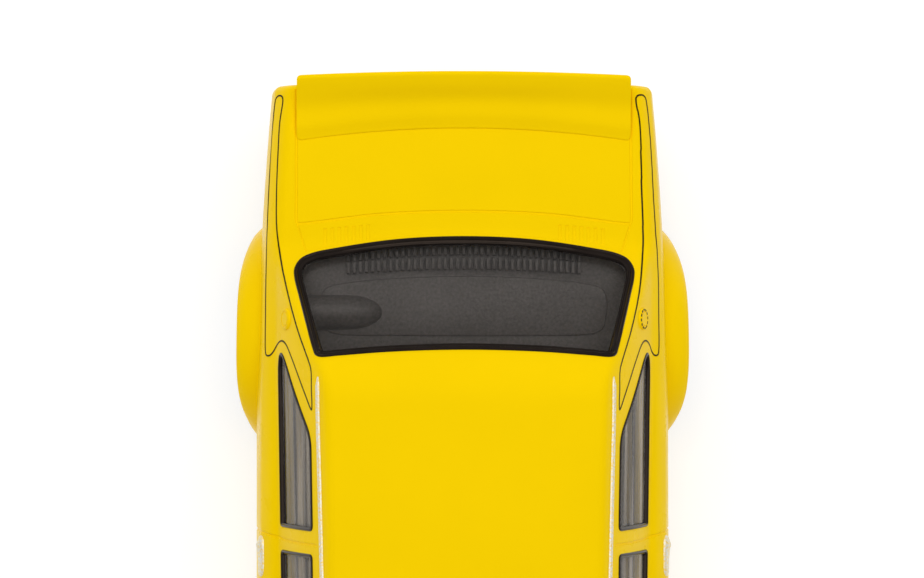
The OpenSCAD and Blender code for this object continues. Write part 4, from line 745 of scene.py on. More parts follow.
def rounded_box(x, z, half_x, half_z, r):
    signs = ((1, 1), (-1, 1), (-1, -1), (1, -1))
    return rounded([(x + sx * half_x, z + sz * half_z, r) for sx, sz in signs])


half, mid, tall = NOSE_PANEL
opening = rounded_box(0, mid, half, tall, NOSE_PANEL_ROUND)
cut(shell, [prism("nose_opening", opening, NOSE_Y - 3, NOSE_Y + WALL + 2.5, "Y")])
recess = rounded_box(*TAIL_LAMP, TAIL_LAMP_ROUND)
cut(shell, pair(prism("lamp_recess", recess, TAIL_Y - LAMP_RECESS, TAIL_Y + 3, "Y")))
x, y = MIRROR_FOOT
peg = [(x + MIRROR_HOLE_R * u, y + MIRROR_HOLE_R * v) for u, v in circle(32)]
cut(shell, pair(prism("mirror_hole", peg, BELT - 6, BELT + 3)))
smooth(shell, 28)
print("finished shell:", len(shell.data.polygons), "faces")

# %% [markdown]
# ## Spoiler
# The ducktail is a separate moulding glued on the boot lid. Its side profile is a smooth curve from a thin
# front edge up to a rounded lip. The profile is carried across the car on a bow, and it shrinks a little at
# both ends to round them.

# %% Pieces that cross the car
END_SHARE = 0.84


def rounded_end(x, half, r):
    """1 along the middle, falling to 0 at the very end on a quarter circle."""
    over = max(0.0, abs(x) - (half - r)) / r
    return math.sqrt(max(0.0, 1 - over * over))


def across_car(name, half, r, count, profile):
    """Loft of (y, z) profiles from end to end, with sections close together along the round ends."""
    side = [half - r * (1 - math.cos(math.radians(a))) for a in (0, 20, 40, 60, 90)]
    side += steps(half - r, 0, count)[1:]
    rows = []
    for x in [-x for x in side] + side[-2::-1]:
        line = spline(profile(x), 4)
        middle, share = sum(line, Vector((0, 0))) / len(line), mix(END_SHARE, 1.0, rounded_end(x, half, r))
        rows.append([(x, *middle.lerp(p, share)) for p in line])
    return smooth(loft(name, rows), 35)


# %% Spoiler
SPOILER_HALF, SPOILER_ROUND = 20.05, 0.5
SPOILER_FRONT, SPOILER_LIP = TAIL_Y - 5.4, TAIL_Y + 1.35
FRONT_BOW, LIP_BOW = 1.5, 0.45


def spoiler_profile(x):
    """Points from the thin front edge over the slope and the lip to the foot behind."""
    t = x / SPOILER_HALF
    front, lip = SPOILER_FRONT - FRONT_BOW * t * t, SPOILER_LIP - LIP_BOW * t * t
    crown = SKIN_CROWN * (1 - t * t) + 0.1
    foot, deck = top_edge(front) + crown, top_edge(TAIL_Y) + crown
    return [(front, foot - 0.12), (front + 0.08, foot + 0.02), (front + 0.4, foot + 0.12),
            (front + 1.5, foot + 0.46), (mix(front, lip, 0.5), deck + 1.25), (lip - 1.8, deck + 2.15),
            (lip - 0.8, deck + 2.6), (lip - 0.35, deck + 2.72), (lip - 0.06, deck + 2.58), (lip, deck + 2.3),
            (lip - 0.2, deck + 1.7), (lip - 0.6, deck + 0.9), (TAIL_Y - 0.7, deck + 0.12)]


spoiler = across_car("boot_spoiler_moulding", SPOILER_HALF, SPOILER_ROUND, 20, spoiler_profile)
print("spoiler:", len(spoiler.data.polygons), "faces")

# %% [markdown]
# ## Roof rails, door handles and caps
# Rails and handles are moulded with the shell and then printed in silver. They are separate meshes here, so
# that each takes its own finish. The rail is a small rounded gutter that follows the edge of the roof. A
# handle leans with the flank, and a cap stands square to its pillar.

# %% Roof rails
RAIL = [(-0.32, -0.35), (-0.32, 0.1), (-0.2, 0.24), (0.0, 0.3), (0.2, 0.24), (0.32, 0.1), (0.32, -0.35)]
RAIL_LINE = [(17.5, 26.4), (17.45, 22), (17.25, 14), (17.0, 4), (16.75, -5), (16.55, -10.6)]
RAIL_TAPER, END_WIDTH, END_HEIGHT = 3, 0.4, 0.2


def make_rail():
    """Gutter along the roof's edge that runs out thin and flat over its last rows."""
    rows = laid(spline(RAIL_LINE, 12), dropped, closed=False)
    last = len(rows) - 1
    rings = []
    for i, (point, normal) in enumerate(rows):
        across = normal.cross(rows[min(i + 1, last)][0] - rows[max(i - 1, 0)][0]).normalized()
        end = min(1.0, min(i, last - i) / RAIL_TAPER)
        wide, tall = mix(END_WIDTH, 1, end), mix(END_HEIGHT, 1, end)
        rings.append([point + across * b * wide + normal * (h * tall) for b, h in RAIL])
    return smooth(turned_out(loft("roof_rail", rings)), 50)


rails = joined("roof_rails", pair(make_rail()))
print("rails:", len(rails.data.polygons), "faces")

# %% Door handles
HANDLE_START, HANDLE_END, HANDLE_Z = 2.9, 7.8, 25.0
HANDLE_OUT, HANDLE_HALF = 0.42, 0.75
BUTTON, GRIP = (6.7, 0.16, 0.42), (4.4, 0.10, 1.3)


def squircle(count, power=0.7):
    """Points between those of a circle and those of a box."""
    return [(math.copysign(abs(u) ** power, u), math.copysign(abs(v) ** power, v)) for u, v in circle(count)]


def swell(y, place, height, reach):
    return height * math.exp(-((y - place) / reach) ** 2)


def make_handle():
    """Bar with round ends, a raised button and a hollowed grip."""
    rows = []
    for t in steps(0, 1, 40):
        y = mix(HANDLE_START, HANDLE_END, t)
        end = max(0.05, 1 - abs(2 * t - 1) ** 6) ** 0.5
        out = HANDLE_OUT * end + swell(y, *BUTTON) - swell(y, *GRIP)
        row = []
        for u, v in squircle(24):
            z = HANDLE_Z + v * HANDLE_HALF * end
            row.append((poked(y, z)[0].x + u * out, y, z))
        rows.append(row)
    return smooth(loft("door_handle", rows), 50)


handles = joined("door_handles", pair(make_handle()))
print("handles:", len(handles.data.polygons), "faces")

# %% Caps on the rear pillars
CAP = (33.55, 30.9)
CAP_PROFILE = [(0.0, 0.26), (0.8, 0.26), (0.86, 0.18), (0.94, 0.18), (1.0, 0.26), (1.12, 0.25), (1.22, 0.2),
               (1.3, 0.08), (1.3, -0.3)]
DASH = [(-0.1, -0.06), (-0.1, 0.02), (0.1, 0.02), (0.1, -0.06)]
DASHES, DASH_TURN, DASH_R, DASH_H = 12, 17, 1.1, 0.26
cap_middle, cap_normal = poked(*CAP)


def cap_point(a, r, h):
    """Point on the cap at +x by angle, radius and height."""
    along = Vector((0, 1, 0))
    along = (along - cap_normal * along.dot(cap_normal)).normalized()
    turn = along * math.cos(a) + cap_normal.cross(along) * math.sin(a)
    return cap_middle + turn * r + cap_normal * h


def make_cap():
    """Low disc with a rounded rim and a shallow ring groove."""
    rows = [[cap_point(a, r, h) for r, h in CAP_PROFILE] for a in steps(0, 2 * math.pi, 64)]
    return smooth(turned_out(loft("pillar_cap", rows, around=False)), 40)


def make_cap_print():
    """Ring of short printed dashes round the cap on one side."""
    dashes = []
    for k in range(DASHES):
        start = 360 / DASHES * k
        arc = steps(math.radians(start), math.radians(start + DASH_TURN), 5)
        rows = [(cap_point(a, DASH_R, DASH_H), cap_normal) for a in arc]
        dashes.append(band("dash", rows, DASH, closed=False))
    return joined("cap_print", dashes)


caps = joined("pillar_caps", pair(make_cap()))
cap_print = make_cap_print()
print("caps:", len(caps.data.polygons), "faces, print:", len(cap_print.data.polygons), "faces")

# %% [markdown]
# ## Printed stripes
# A thin dark line runs round each rear quarter: along the flank, up behind the side window, and back down
# the rear pillar. Ink has next to no height, so each line is a flat ribbon laid on the form, a few
# hundredths proud of it. Prints on toys never sit quite alike, so each side has its own small shifts at the
# tail and the flank.

# %% Printed stripes
STRIPE = [(-0.1, -0.05), (-0.1, 0.03), (0.1, 0.03), (0.1, -0.05)]
STRIPE_LOOP = [
    (22.3, 60.2, 24.3), (22.7, 56.4, 24.4), (22.95, 51.5, 24.8), (23.15, 47.7, 25.1), (23.4, 42.1, 25.4),
    (23.6, 38.3, 25.5), (23.65, 33.8, 25.7), (23.64, 30.2, 25.82), (23.6, 29.6, 25.95), (23.42, 29.36, 26.2),
    (23.0, 29.38, 26.65), (22.65, 29.75, 27.1), (22.25, 30.6, 28.0), (21.75, 31.0, 29.4), (21.3, 30.6, 30.7),
    (20.6, 29.0, 32.3), (19.0, 24.5, 35.4), (18.42, 22.7, 36.6), (18.28, 22.55, 36.8), (18.25, 23.2, 36.9),
    (18.25, 24.9, 36.8), (18.32, 27.2, 36.8), (18.6, 28.2, 36.4), (19.8, 32.0, 33.9), (21.1, 36.9, 30.8),
    (21.95, 41.8, 27.7), (22.08, 43.2, 27.25), (22.1, 45.2, 26.9), (22.05, 49.5, 26.5), (21.9, 53.4, 26.1),
    (21.7, 57.4, 25.7), (21.3, 60.2, 25.6), (21.4, 60.6, 25.3), (22.1, 60.72, 24.9), (22.28, 60.5, 24.5)]
TAIL_RANGE, FLANK_RANGE, TAIL_RISE, FLANK_RISE = (38, 48), (18.3, 23.6), 0.5, 1.1


def nearest(x, y, z):
    hit, normal, _, _ = surface.find_nearest(Vector((x, y, z)) * MM)
    return hit / MM, normal


def make_stripe(at_tail, at_flank):
    """Printed line for the side of +x, moved inwards and up the form by two measures."""
    loop = []
    for x, y, z in STRIPE_LOOP:
        tail, side = at_tail * ramp(*TAIL_RANGE, y), at_flank * ramp(*FLANK_RANGE, x)
        loop.append((x - tail - side, y, z + TAIL_RISE * tail + FLANK_RISE * side))
    return smooth(band("stripe", laid(spline(loop, 10, closed=True), nearest), STRIPE), 40)


far_stripe = make_stripe(-0.2, -0.05)
stripes = joined("printed_stripes", [make_stripe(0.45, 0.45), mirrored(far_stripe)])
bpy.data.objects.remove(far_stripe)
print("stripes:", len(stripes.data.polygons), "faces")

# %% [markdown]
# ## Chin, nose panel and lamps
# The chin is a bowed blade under the nose, lofted across the car like the spoiler. The black nose panel is
# a plate with slats and two round holes. Bowls and lenses of the lamps are turned pieces, so each is one
# profile spun on its axis.

# %% Air dam
DAM_HALF, DAM_ROUND, DAM_SWEEP = 22.0, 0.6, 2.2


def dam_profile(x):
    """Points from the head down the face, round the lower edge and up the back."""
    face = NOSE_Y + DAM_SWEEP * (abs(x) / DAM_HALF) ** 3
    head, back = lower_edge(face + 0.3) - 0.15, lower_edge(face + 1.5) - 0.15
    return [(face + 0.3, head), (face + 0.1, head - 0.8), (face - 0.5, head - 2.2), (face - 1.05, 4.1),
            (face - 1.2, 3.4), (face - 1.05, 3.0), (face - 0.5, 2.9), (face + 0.1, 2.92), (face + 0.5, 3.2),
            (face + 1.2, back - 2.2), (face + 1.5, back - 0.8), (face + 1.5, back)]


air_dam = across_car("air_dam_moulding", DAM_HALF, DAM_ROUND, 28, dam_profile)
print("air dam:", len(air_dam.data.polygons), "faces")

# %% Turned pieces and softened edges
AXES = {"X": Vector((1, 0, 0)), "Y": Vector((0, 1, 0)), "Z": Vector((0, 0, 1))}
SHARP = math.radians(35)


def spun(name, profile, centre, along="X", sides=96):
    """Solid of revolution of (radius, place) points; a profile that starts off the axis is a closed loop."""
    u, v = [axis for key, axis in AXES.items() if key != along]
    rows = []
    for a in steps(0, 2 * math.pi, sides):
        turn = u * math.cos(a) + v * math.sin(a)
        rows.append([Vector(centre) + turn * r + AXES[along] * h for r, h in profile])
    return turned_out(loft(name, rows, around=profile[0][0] > 0, caps=False))


def soften(obj, width):
    """Rounds all sharp edges, as a mould leaves them."""
    modify(obj, "BEVEL", width=width * MM, segments=2, limit_method="ANGLE", angle_limit=SHARP)
    return smooth(obj, 40)


# %% Nose panel
LAMP_HOLE, LAMP_PLACE = 3.1, (15.5, NOSE_Y, 17.6)
PANEL_FIT, PANEL_FRONT, PANEL_BACK = 0.15, NOSE_Y + 0.7, NOSE_Y + 1.9
SLATS, SLAT_HALF, SLAT_BACK, SLAT_BORDER = 6, 11.8, NOSE_Y + 1.3, 0.7


def make_nose_panel():
    half, mid, tall = NOSE_PANEL
    plate = rounded_box(0, mid, half - PANEL_FIT, tall - PANEL_FIT, NOSE_PANEL_ROUND - PANEL_FIT)
    panel = prism("nose_panel", plate, PANEL_FRONT, PANEL_BACK, "Y")
    pitch = 2 * (tall - SLAT_BORDER) / SLATS
    for k in range(SLATS):
        z = mid - tall + SLAT_BORDER + (k + 0.5) * pitch
        slat = rounded_box(0, z, SLAT_HALF, 0.3 * pitch, 0.15)
        cut(panel, [prism("slat", slat, NOSE_Y - 1, SLAT_BACK, "Y")])
    hole = [(0, -1), (LAMP_HOLE, -1), (LAMP_HOLE, 4), (0, 4)]
    cut(panel, pair(spun("lamp_hole", hole, LAMP_PLACE, "Y")))
    return soften(panel, 0.08)


nose_panel = make_nose_panel()
print("nose panel:", len(nose_panel.data.polygons), "faces")

# %% Lamps
LAMP_R = LAMP_HOLE - PANEL_FIT
BOWL = spline([(0, 2.6), (1.2, 2.5), (2.1, 1.9), (2.65, 0.7)], 6)
BOWL += [(LAMP_R, 0.7), (LAMP_R, 1.2), (2.5, 2.3), (1.4, 3.0), (0, 3.1)]
LENS = [(0, 0.2), (LAMP_R - 0.5, 0.55), (LAMP_R, 0.6)]
LENS += [(LAMP_R * math.cos(a), 0.5 - 0.8 * math.sin(a)) for a in steps(0, math.pi / 2, 12)]
GAP_PITCH, GAP_HALF, GAP_DEPTH = 1.5, 0.15, 0.2
LENS_BACK, LENS_FACE = TAIL_Y - 0.45, TAIL_Y + 0.35


def make_tail_lamp():
    """Plate of red plastic with upright gaps in its face."""
    x, z, wide, tall = TAIL_LAMP
    plate = rounded_box(x, z, wide - PANEL_FIT, tall - PANEL_FIT, TAIL_LAMP_ROUND)
    lens = prism("tail_lamp", plate, LENS_BACK, LENS_FACE, "Y")
    for k in range(-2, 3):
        gap = rounded_box(x + GAP_PITCH * k, z, GAP_HALF, tall + 1, 0.04)
        cut(lens, [prism("lens_gap", gap, LENS_FACE - GAP_DEPTH, TAIL_Y + 1, "Y")])
    return soften(lens, 0.06)


bowls = joined("headlamp_bowls", pair(smooth(spun("bowl", BOWL, LAMP_PLACE, "Y"), 40)))
lenses = joined("headlamp_glasses", pair(smooth(spun("lens", LENS, LAMP_PLACE, "Y"), 40)))
tail_lamps = joined("tail_lamp_glasses", pair(make_tail_lamp()))
print("lamps:", [len(o.data.polygons) for o in (bowls, lenses, tail_lamps)], "faces")

# %% [markdown]
# ## Wipers and mirrors
# Wipers of such a toy are thin mouldings that lie on the windscreen: an arm from a pivot, and a blade.
# Their points are dropped on the form like the seals. A mirror is a peg in the shoulder with a rounded
# head, open towards the driver, lofted from rings whose shape lies between an ellipse and a box.

# %% Wipers
ARM = [(-0.2, 0.1), (-0.24, 0.3), (-0.12, 0.5), (0.12, 0.5), (0.24, 0.3), (0.2, 0.1)]
BLADE = [(-0.1, -0.27), (-0.16, 0.1), (-0.12, 0.34), (0.12, 0.34), (0.16, 0.1), (0.1, -0.27)]
PIVOT = [(0, -0.35), (0.5, -0.35), (0.5, 0.45), (0.38, 0.6), (0, 0.64)]
WIPER_X, PIVOT_Y = (-10, 3), -23.0


def make_wiper(x):
    pivot, elbow = Vector((x, PIVOT_Y)), Vector((x + 4, -20.4))
    heel, tip = Vector((x - 1, -19.6)), Vector((x + 10, -21.0))
    parts = []
    for start, end, profile in ((pivot, elbow, ARM), (heel, tip, BLADE)):
        line = [start.lerp(end, t) for t in steps(0, 1, 14)]
        parts.append(groove("wiper", line, dropped, profile))
    return parts + [spun("wiper_pivot", PIVOT, dropped(*pivot)[0], "Z", 32)]


wipers = smooth(joined("wiper_mouldings", [part for x in WIPER_X for part in make_wiper(x)]), 40)
print("wipers:", len(wipers.data.polygons), "faces")

# %% Mirrors
MIRROR_HEAD = Vector((24.97, -18.5, 30.0))
MIRROR_HALF_X, MIRROR_HALF_Z, NECK_R = 2.9, 1.5, 0.8
MIRROR_RINGS = [(-1.7, 0.04), (-1.66, 0.2), (-1.5, 0.42), (-1.2, 0.62), (-0.7, 0.8), (-0.1, 0.92),
                (0.5, 0.985), (0.85, 1.0), (0.97, 0.97), (1.0, 0.93), (0.97, 0.89), (0.85, 0.87),
                (0.6, 0.86), (0.55, 0.04)]
FACE_RINGS = [(0.5, 0.85), (0.66, 0.85), (0.7, 0.82), (0.7, 0.04)]


def mirror_loft(name, rings):
    """Loft of (place, share) rings along the mirror's head."""
    rows = []
    for y, share in rings:
        reach_x, reach_z = MIRROR_HALF_X * share, MIRROR_HALF_Z * share
        rows.append([MIRROR_HEAD + Vector((reach_x * u, y, reach_z * v)) for u, v in squircle(48)])
    return loft(name, rows)


def make_mirror():
    x, y = MIRROR_FOOT
    path = spline([(x, y, 24.7), (x, y, 28.2), (x + 0.45, y, 29.3), (x + 1.8, y, 29.9)], 6)
    round_bar = [(NECK_R * u, NECK_R * v) for u, v in circle(24)]
    neck = band("mirror_neck", [(p, AXES["Y"]) for p in path], round_bar, closed=False)
    return smooth(cut(mirror_loft("door_mirror", MIRROR_RINGS), [neck], "UNION"), 40)


mirrors = pair(make_mirror())
mirror_glass = joined("mirror_faces", pair(smooth(mirror_loft("mirror_face", FACE_RINGS), 40)))
print("mirrors:", len(mirrors[0].data.polygons), "faces each")

# %% [markdown]
# ## Wheels
# Tyre and wheel are turned pieces. The tyre is a slick with rounded shoulders and a raised ring on its
# wall. The centre has five spokes between a rim and a hub, united and then softened, as a casting would be.
# One of each is modelled for each axle and copied to the other side. An axle's row gives the place of the
# wheel's inner side, its width and the place of the axle.

# %% Tyres
WHEELS = {"rear": (17.72, 8.5, REAR_AXLE_Y), "front": (18.49, 7.2, FRONT_AXLE_Y)}
TYRE_SHOULDER = 1.2
TYRE_WALL = [(7.05, 1.25), (7.4, 0.95), (7.4, 0.22), (7.46, 0.08), (7.6, 0.02), (7.95, 0.0), (8.2, 0.02),
             (8.33, 0.1), (8.38, 0.22)]
for a in steps(0, math.pi / 2, 10):
    TYRE_WALL.append((8.4 + TYRE_SHOULDER * math.sin(a), 0.27 + TYRE_SHOULDER * (1 - math.cos(a))))


def two_walls(side, x0, width):
    return [(r, x0 + x) for r, x in side] + [(r, x0 + width - x) for r, x in reversed(side)]


def make_tyre(x0, width, axle_y):
    return smooth(spun("tyre", two_walls(TYRE_WALL, x0, width), (0, axle_y, AXLE_Z), "X", 144), 30)


# %% Wheels
RIM_R, RIM_LIP, BARREL_R, HUB_R, BORE_R = 7.0, 0.35, 6.1, 2.5, 1.2
WEB_SHARE, WEB_T, HUB_SINK, BARREL_EDGE = 0.35, 1.3, 2.3, 0.3


def make_wheel(x0, width, axle_y):
    """Barrel with a hub on its web, and a lip at each edge of the rim."""
    web, face = WEB_SHARE * width, width - HUB_SINK
    lip = [(RIM_R + RIM_LIP, BARREL_EDGE), (RIM_R + RIM_LIP, 0.9), (RIM_R, 1.2)]
    profile = [(BORE_R, 0), (HUB_R, 0), (HUB_R, web), (BARREL_R, web), (BARREL_R, BARREL_EDGE)]
    profile += two_walls(lip, 0, width)
    profile += [(BARREL_R, width - BARREL_EDGE), (BARREL_R, web + WEB_T), (HUB_R, web + WEB_T), (HUB_R, face),
                (BORE_R, face)]
    wheel = spun("wheel", [(r, x0 + x) for r, x in profile], (0, axle_y, AXLE_Z), "X", 128)
    return soften(wheel, 0.07)


# %% Spoked inserts
SPOKES, SPOKE = 5, ((0.9, -1.3), (5.6, -0.75), (5.6, 0.75), (0.9, 1.3))
INSERT_SINK, INSERT_T, INSERT_RIM, INSERT_FIT = 2.2, 1.1, 0.7, 0.05
SPOKE_BACK, SPOKE_FRONT = 0.05, 1.02
INSERT_HUB = [(0, 0), (2.2, 0), (2.2, 0.9), (1.75, 1.12), (1.6, 1.2), (1.4, 1.55), (1.2, 1.64), (0, 1.66)]


def make_insert(x0, width, axle_y):
    face, outer, centre = x0 + width - INSERT_SINK, BARREL_R - INSERT_FIT, (0, axle_y, AXLE_Z)
    inner, front = outer - INSERT_RIM, face + INSERT_T
    rim = [(inner, face), (outer, face), (outer, front), (inner, front)]
    insert = spun("wheel_insert", rim, centre, "X", 128)
    pieces = [spun("hub", [(r, face + x) for r, x in INSERT_HUB], centre, "X", 64)]
    for k in range(SPOKES):
        turn = Matrix.Rotation(math.radians(360 / SPOKES * k + 90), 2)
        outline = [(axle_y + p.x, AXLE_Z + p.y) for p in (turn @ Vector(corner) for corner in SPOKE)]
        pieces.append(prism("spoke", outline, face + SPOKE_BACK, face + SPOKE_FRONT, "X"))
    return soften(cut(insert, pieces, "UNION"), 0.16)


wheel_pieces = []
for axle, size in WHEELS.items():
    for kind, make in (("tyre", make_tyre), ("wheel", make_wheel), ("wheel_insert", make_insert)):
        for side, obj in zip(("left", "right"), pair(make(*size))):
            wheel_pieces.append((obj, f"{axle}_{kind}_{side}"))
print("wheels:", len(wheel_pieces), "pieces")

# %% [markdown]
# ## Driver's helmet
# The driver is a small painted figure. The helmet is a plain full-face one of no maker: a spun form, a
# little narrower than long, with a dark band for the visor. The band is the same form a touch larger, kept
# only in front.

# %% Driver's helmet
HELMET = Vector((-9.0, 0.6, 34.0))
HELMET_LINE = [(0, -3.3), (1.6, -3.2), (2.3, -2.6), (3.0, -1.5), (3.45, 0), (3.2, 1.45), (2.3, 2.7),
               (1.2, 3.3), (0, 3.5)]
HELMET_NARROW, VISOR_GROWTH = 0.92, 1.015


def helmet_form(name, share):
    profile = [(r * share, h * share) for r, h in spline(HELMET_LINE, 5)]
    helmet = spun(name, profile, HELMET, "Z", 72)
    centre = Matrix.Translation(HELMET * MM)
    helmet.data.transform(centre @ Matrix.Diagonal((HELMET_NARROW, 1, 1, 1)) @ centre.inverted())
    return helmet


helmet = smooth(helmet_form("helmet_form", 1.0), 60)
visor_window = rounded_box(HELMET.x, HELMET.z + 0.15, 3.4, 1.0, 0.35)
visor_box = prism("visor_box", visor_window, HELMET.y - 6, HELMET.y - 0.5, "Y")
visor = soften(cut(helmet_form("helmet_visor", VISOR_GROWTH), [visor_box], "INTERSECT"), 0.04)
print("helmet:", len(helmet.data.polygons), "faces")

# %% [markdown]
# ## Pieces kept from the frame
# Chassis, tray, motor and drive already have their shape. Moulded, stamped and turned pieces never have
# knife-sharp edges, so each gets a copy with merged faces and a small round on its edges. The tray's copy
# is cut level under the rear window, where the next step puts a finer shelf. The leads are rounded by
# subdivision, and the driver's suit is remeshed and smoothed like soft cloth.

# %% Pieces with soft edges
SHELF_Z = 26.0
ABOVE_SHELF = [(-23, 29), (23, 29), (23, 46), (-23, 46)]
SOFT_EDGES = {
    "interior_tray": 0.12, "steering_wheel": 0.06, "chassis": 0.12, "service_hatch": 0.1, "hatch_screw": 0.04,
    "body_screws": 0.08, "traction_magnet": 0.2, "exhaust_pipe": 0.08, "rear_axle_bushes": 0.08,
    "front_axle_bushes": 0.08, "motor_can": 0.3, "motor_end_bell": 0.2, "motor_magnets": 0.12,
    "motor_brushes": 0.08, "motor_terminals": 0.05, "contact_plates": 0.05, "motor_shaft": 0.1,
    "armature_core": 0.08, "armature_windings": 0.08, "commutator": 0.05, "pinion": 0.04, "rear_axle": 0.15,
    "axle_gear": 0.05, "front_axle": 0.15, "guide": 0.15, "pickup_braid_left": 0.1, "pickup_braid_right": 0.1,
}
kept_pieces = {}


def merged_copy(node):
    copy = bpy.data.objects.new(node + "_look", nodes[node].data.copy())
    bpy.context.collection.objects.link(copy)
    edit(copy)
    bpy.ops.mesh.remove_doubles(threshold=WELD)
    return copy


for node, width in SOFT_EDGES.items():
    piece = merged_copy(node)
    bpy.ops.mesh.dissolve_limited(angle_limit=math.radians(0.5))
    if node == "interior_tray":
        cut(piece, [prism("above_shelf", ABOVE_SHELF, SHELF_Z, SHELF_Z + 5)])
    kept_pieces[node] = modify(soften(piece, width), "WEIGHTED_NORMAL", keep_sharp=True)
print("pieces with soft edges:", len(kept_pieces))

# %% Leads and suit
FLAT = math.radians(60)
for node in ("lead_wire_left", "lead_wire_right"):
    piece = merged_copy(node)
    bpy.ops.mesh.tris_convert_to_quads(face_threshold=FLAT, shape_threshold=FLAT)
    kept_pieces[node] = smooth(modify(piece, "SUBSURF", levels=2, render_levels=2), 60)
suit = modify(merged_copy("driver_torso"), "REMESH", mode="VOXEL", voxel_size=0.16 * MM)
kept_pieces["driver_torso"] = smooth(modify(suit, "SMOOTH", factor=0.6, iterations=10), 80)
print("kept from the frame:", len(kept_pieces), "pieces")

# %% [markdown]
# ## Parcel shelf
# Through the rear window shows a bare shelf with two rows of moulded ribs and half of a lying bottle, all
# of one dark plastic. It is a plate that reaches under the window's edge, with a raised panel. One rib is
# modelled and copied along both rows. A row is given by its place, its ribs' share of full length, its bow
# and its height.

# %% Parcel shelf
RIBS, RIB_PITCH, RIB_SPAN = 39, 0.73, 14
RIB_ROWS = [(40.4, 1.0, 0.55, 0.0), (41.95, 0.7, 0.88, -0.1)]
BOTTLE_Y, BOTTLE_R, BOTTLE_X, BOTTLE_NOSE = 34.55, 2.1, -14.0, 4.3
BOTTLE = [(0, -20.6), (1.7, -20.6), (2.02, -20.45), (BOTTLE_R, -20.1), (BOTTLE_R, -17), (BOTTLE_R, BOTTLE_X)]
BOTTLE += [(BOTTLE_R * math.sqrt(1 - t * t), BOTTLE_X + BOTTLE_NOSE * t) for t in steps(0, 1, 16)[1:]]
PANEL_HALF = [(0, 38.9), (8, 38.65), (14, 38.1), (16.6, 37.4), (17.2, 36.2), (17.1, 34), (16.7, 32.6),
              (15.6, 32), (8, 31.75), (0, 31.7)]


def make_ribs():
    rib = soften(prism("rib", rounded_box(0, 0, 0.2, 0.68, 0.07), SHELF_Z + 0.1, SHELF_Z + 1.15), 0.06)
    ribs = []
    for k in range(RIBS):
        x = (k - (RIBS - 1) / 2) * RIB_PITCH
        for y, share, bow, z in RIB_ROWS:
            place = Matrix.Translation(Vector((x, y - bow * (x / RIB_SPAN) ** 2, z)) * MM)
            ribs.append(copied(rib, "rib"))
            ribs[-1].data.transform(place @ Matrix.Diagonal((1, share, 1, 1)))
    bpy.data.objects.remove(rib)
    return ribs


plate = soften(prism("shelf_plate", shrunk(rear_outline, 1.04), SHELF_Z - 0.1, SHELF_Z + 0.25), 0.08)
panel = soften(prism("shelf_panel", both_halves(PANEL_HALF), SHELF_Z + 0.1, SHELF_Z + 0.55), 0.18)
bottle = smooth(spun("bottle", BOTTLE, (0, BOTTLE_Y, SHELF_Z + 0.15), "X", 64), 40)
parcel_shelf = joined("parcel_shelf", [plate, panel, bottle] + make_ribs())
print("parcel shelf:", len(parcel_shelf.data.polygons), "faces")

# %% [markdown]
# ## Plain finishes
# Moulded plastic, rubber, paint and bare metal differ in colour, gloss and grain and are alike in build:
# two close tones, an uneven gloss and a fine bump. One function makes them all, and each has a row of
# settings. Sizes of spots and the depth of the grain are millimetres.

# %% Plain finishes
FINISHES = {
    "yellow_body": dict(colour=(0.95, 0.635, 0.001), rough=0.3, tone=0.01, size=9, uneven=0.05, depth=0.0003,
                        spots=0.8, tint=(1.0, 0.66, 0.03), shine=0.045),
    "black_trim": dict(colour=(0.012, 0.009, 0.008), rough=0.13, tone=0.25, uneven=0.04, depth=0.004,
                       tint=(0.32, 0.24, 0.18)),
    "interior_plastic": dict(colour=(0.15, 0.143, 0.138), rough=0.4, tone=0.22, size=0.35, depth=0.03,
                             spots=0.25),
    "plated_bowl": dict(colour=(0.82, 0.82, 0.82), rough=0.08, tone=0.03, metal=1.0, uneven=0.03),
    "silver_wheel": dict(colour=(0.52, 0.52, 0.52), rough=0.34, tone=0.06, metal=0.75, depth=0.012,
                         spots=0.08),
    "tyre_rubber": dict(colour=(0.02, 0.02, 0.02), rough=0.72, tone=0.3, size=2, depth=0.03, spots=0.18),
    "driver_suit": dict(colour=(0.03, 0.05, 0.2), rough=0.75, tone=0.25, size=1.2, depth=0.05, spots=0.3),
    "helmet_paint": dict(colour=(0.8, 0.8, 0.79), rough=0.15, tone=0.03, coat=0.5, uneven=0.04),
    "chassis_plastic": dict(colour=(0.017, 0.017, 0.018), rough=0.5, tone=0.2, depth=0.03),
    "steel_screw": dict(colour=(0.55, 0.55, 0.56), rough=0.32, metal=1.0, size=0.8, depth=0.01, spots=0.1),
    "magnet_nickel": dict(colour=(0.6, 0.6, 0.57), rough=0.22, tone=0.06, metal=1.0, depth=0.008),
    "brass_bush": dict(colour=(0.72, 0.5, 0.2), rough=0.3, tone=0.1, metal=1.0, size=1.0, depth=0.008),
    "can_steel": dict(colour=(0.5, 0.5, 0.51), rough=0.3, tone=0.07, metal=1.0, depth=0.008),
    "axle_steel": dict(colour=(0.58, 0.58, 0.59), rough=0.2, tone=0.06, metal=1.0, size=1.5, depth=0.004),
    "bell_plastic": dict(colour=(0.76, 0.75, 0.71), rough=0.45, tone=0.05, depth=0.015),
    "ferrite": dict(colour=(0.05, 0.05, 0.055), rough=0.7, tone=0.3, size=0.6, depth=0.03, spots=0.1),
    "gear_nylon": dict(colour=(0.8, 0.79, 0.75), rough=0.4, tone=0.04, depth=0.01),
    "lead_red": dict(colour=(0.45, 0.018, 0.014), rough=0.38, tone=0.12, size=2),
    "lead_black": dict(colour=(0.018, 0.018, 0.018), rough=0.38, tone=0.25, size=2),
    "stripe_ink": dict(colour=(0.03, 0.016, 0.002), rough=0.5, tone=0.2, size=1.0, shine=0.1),
}


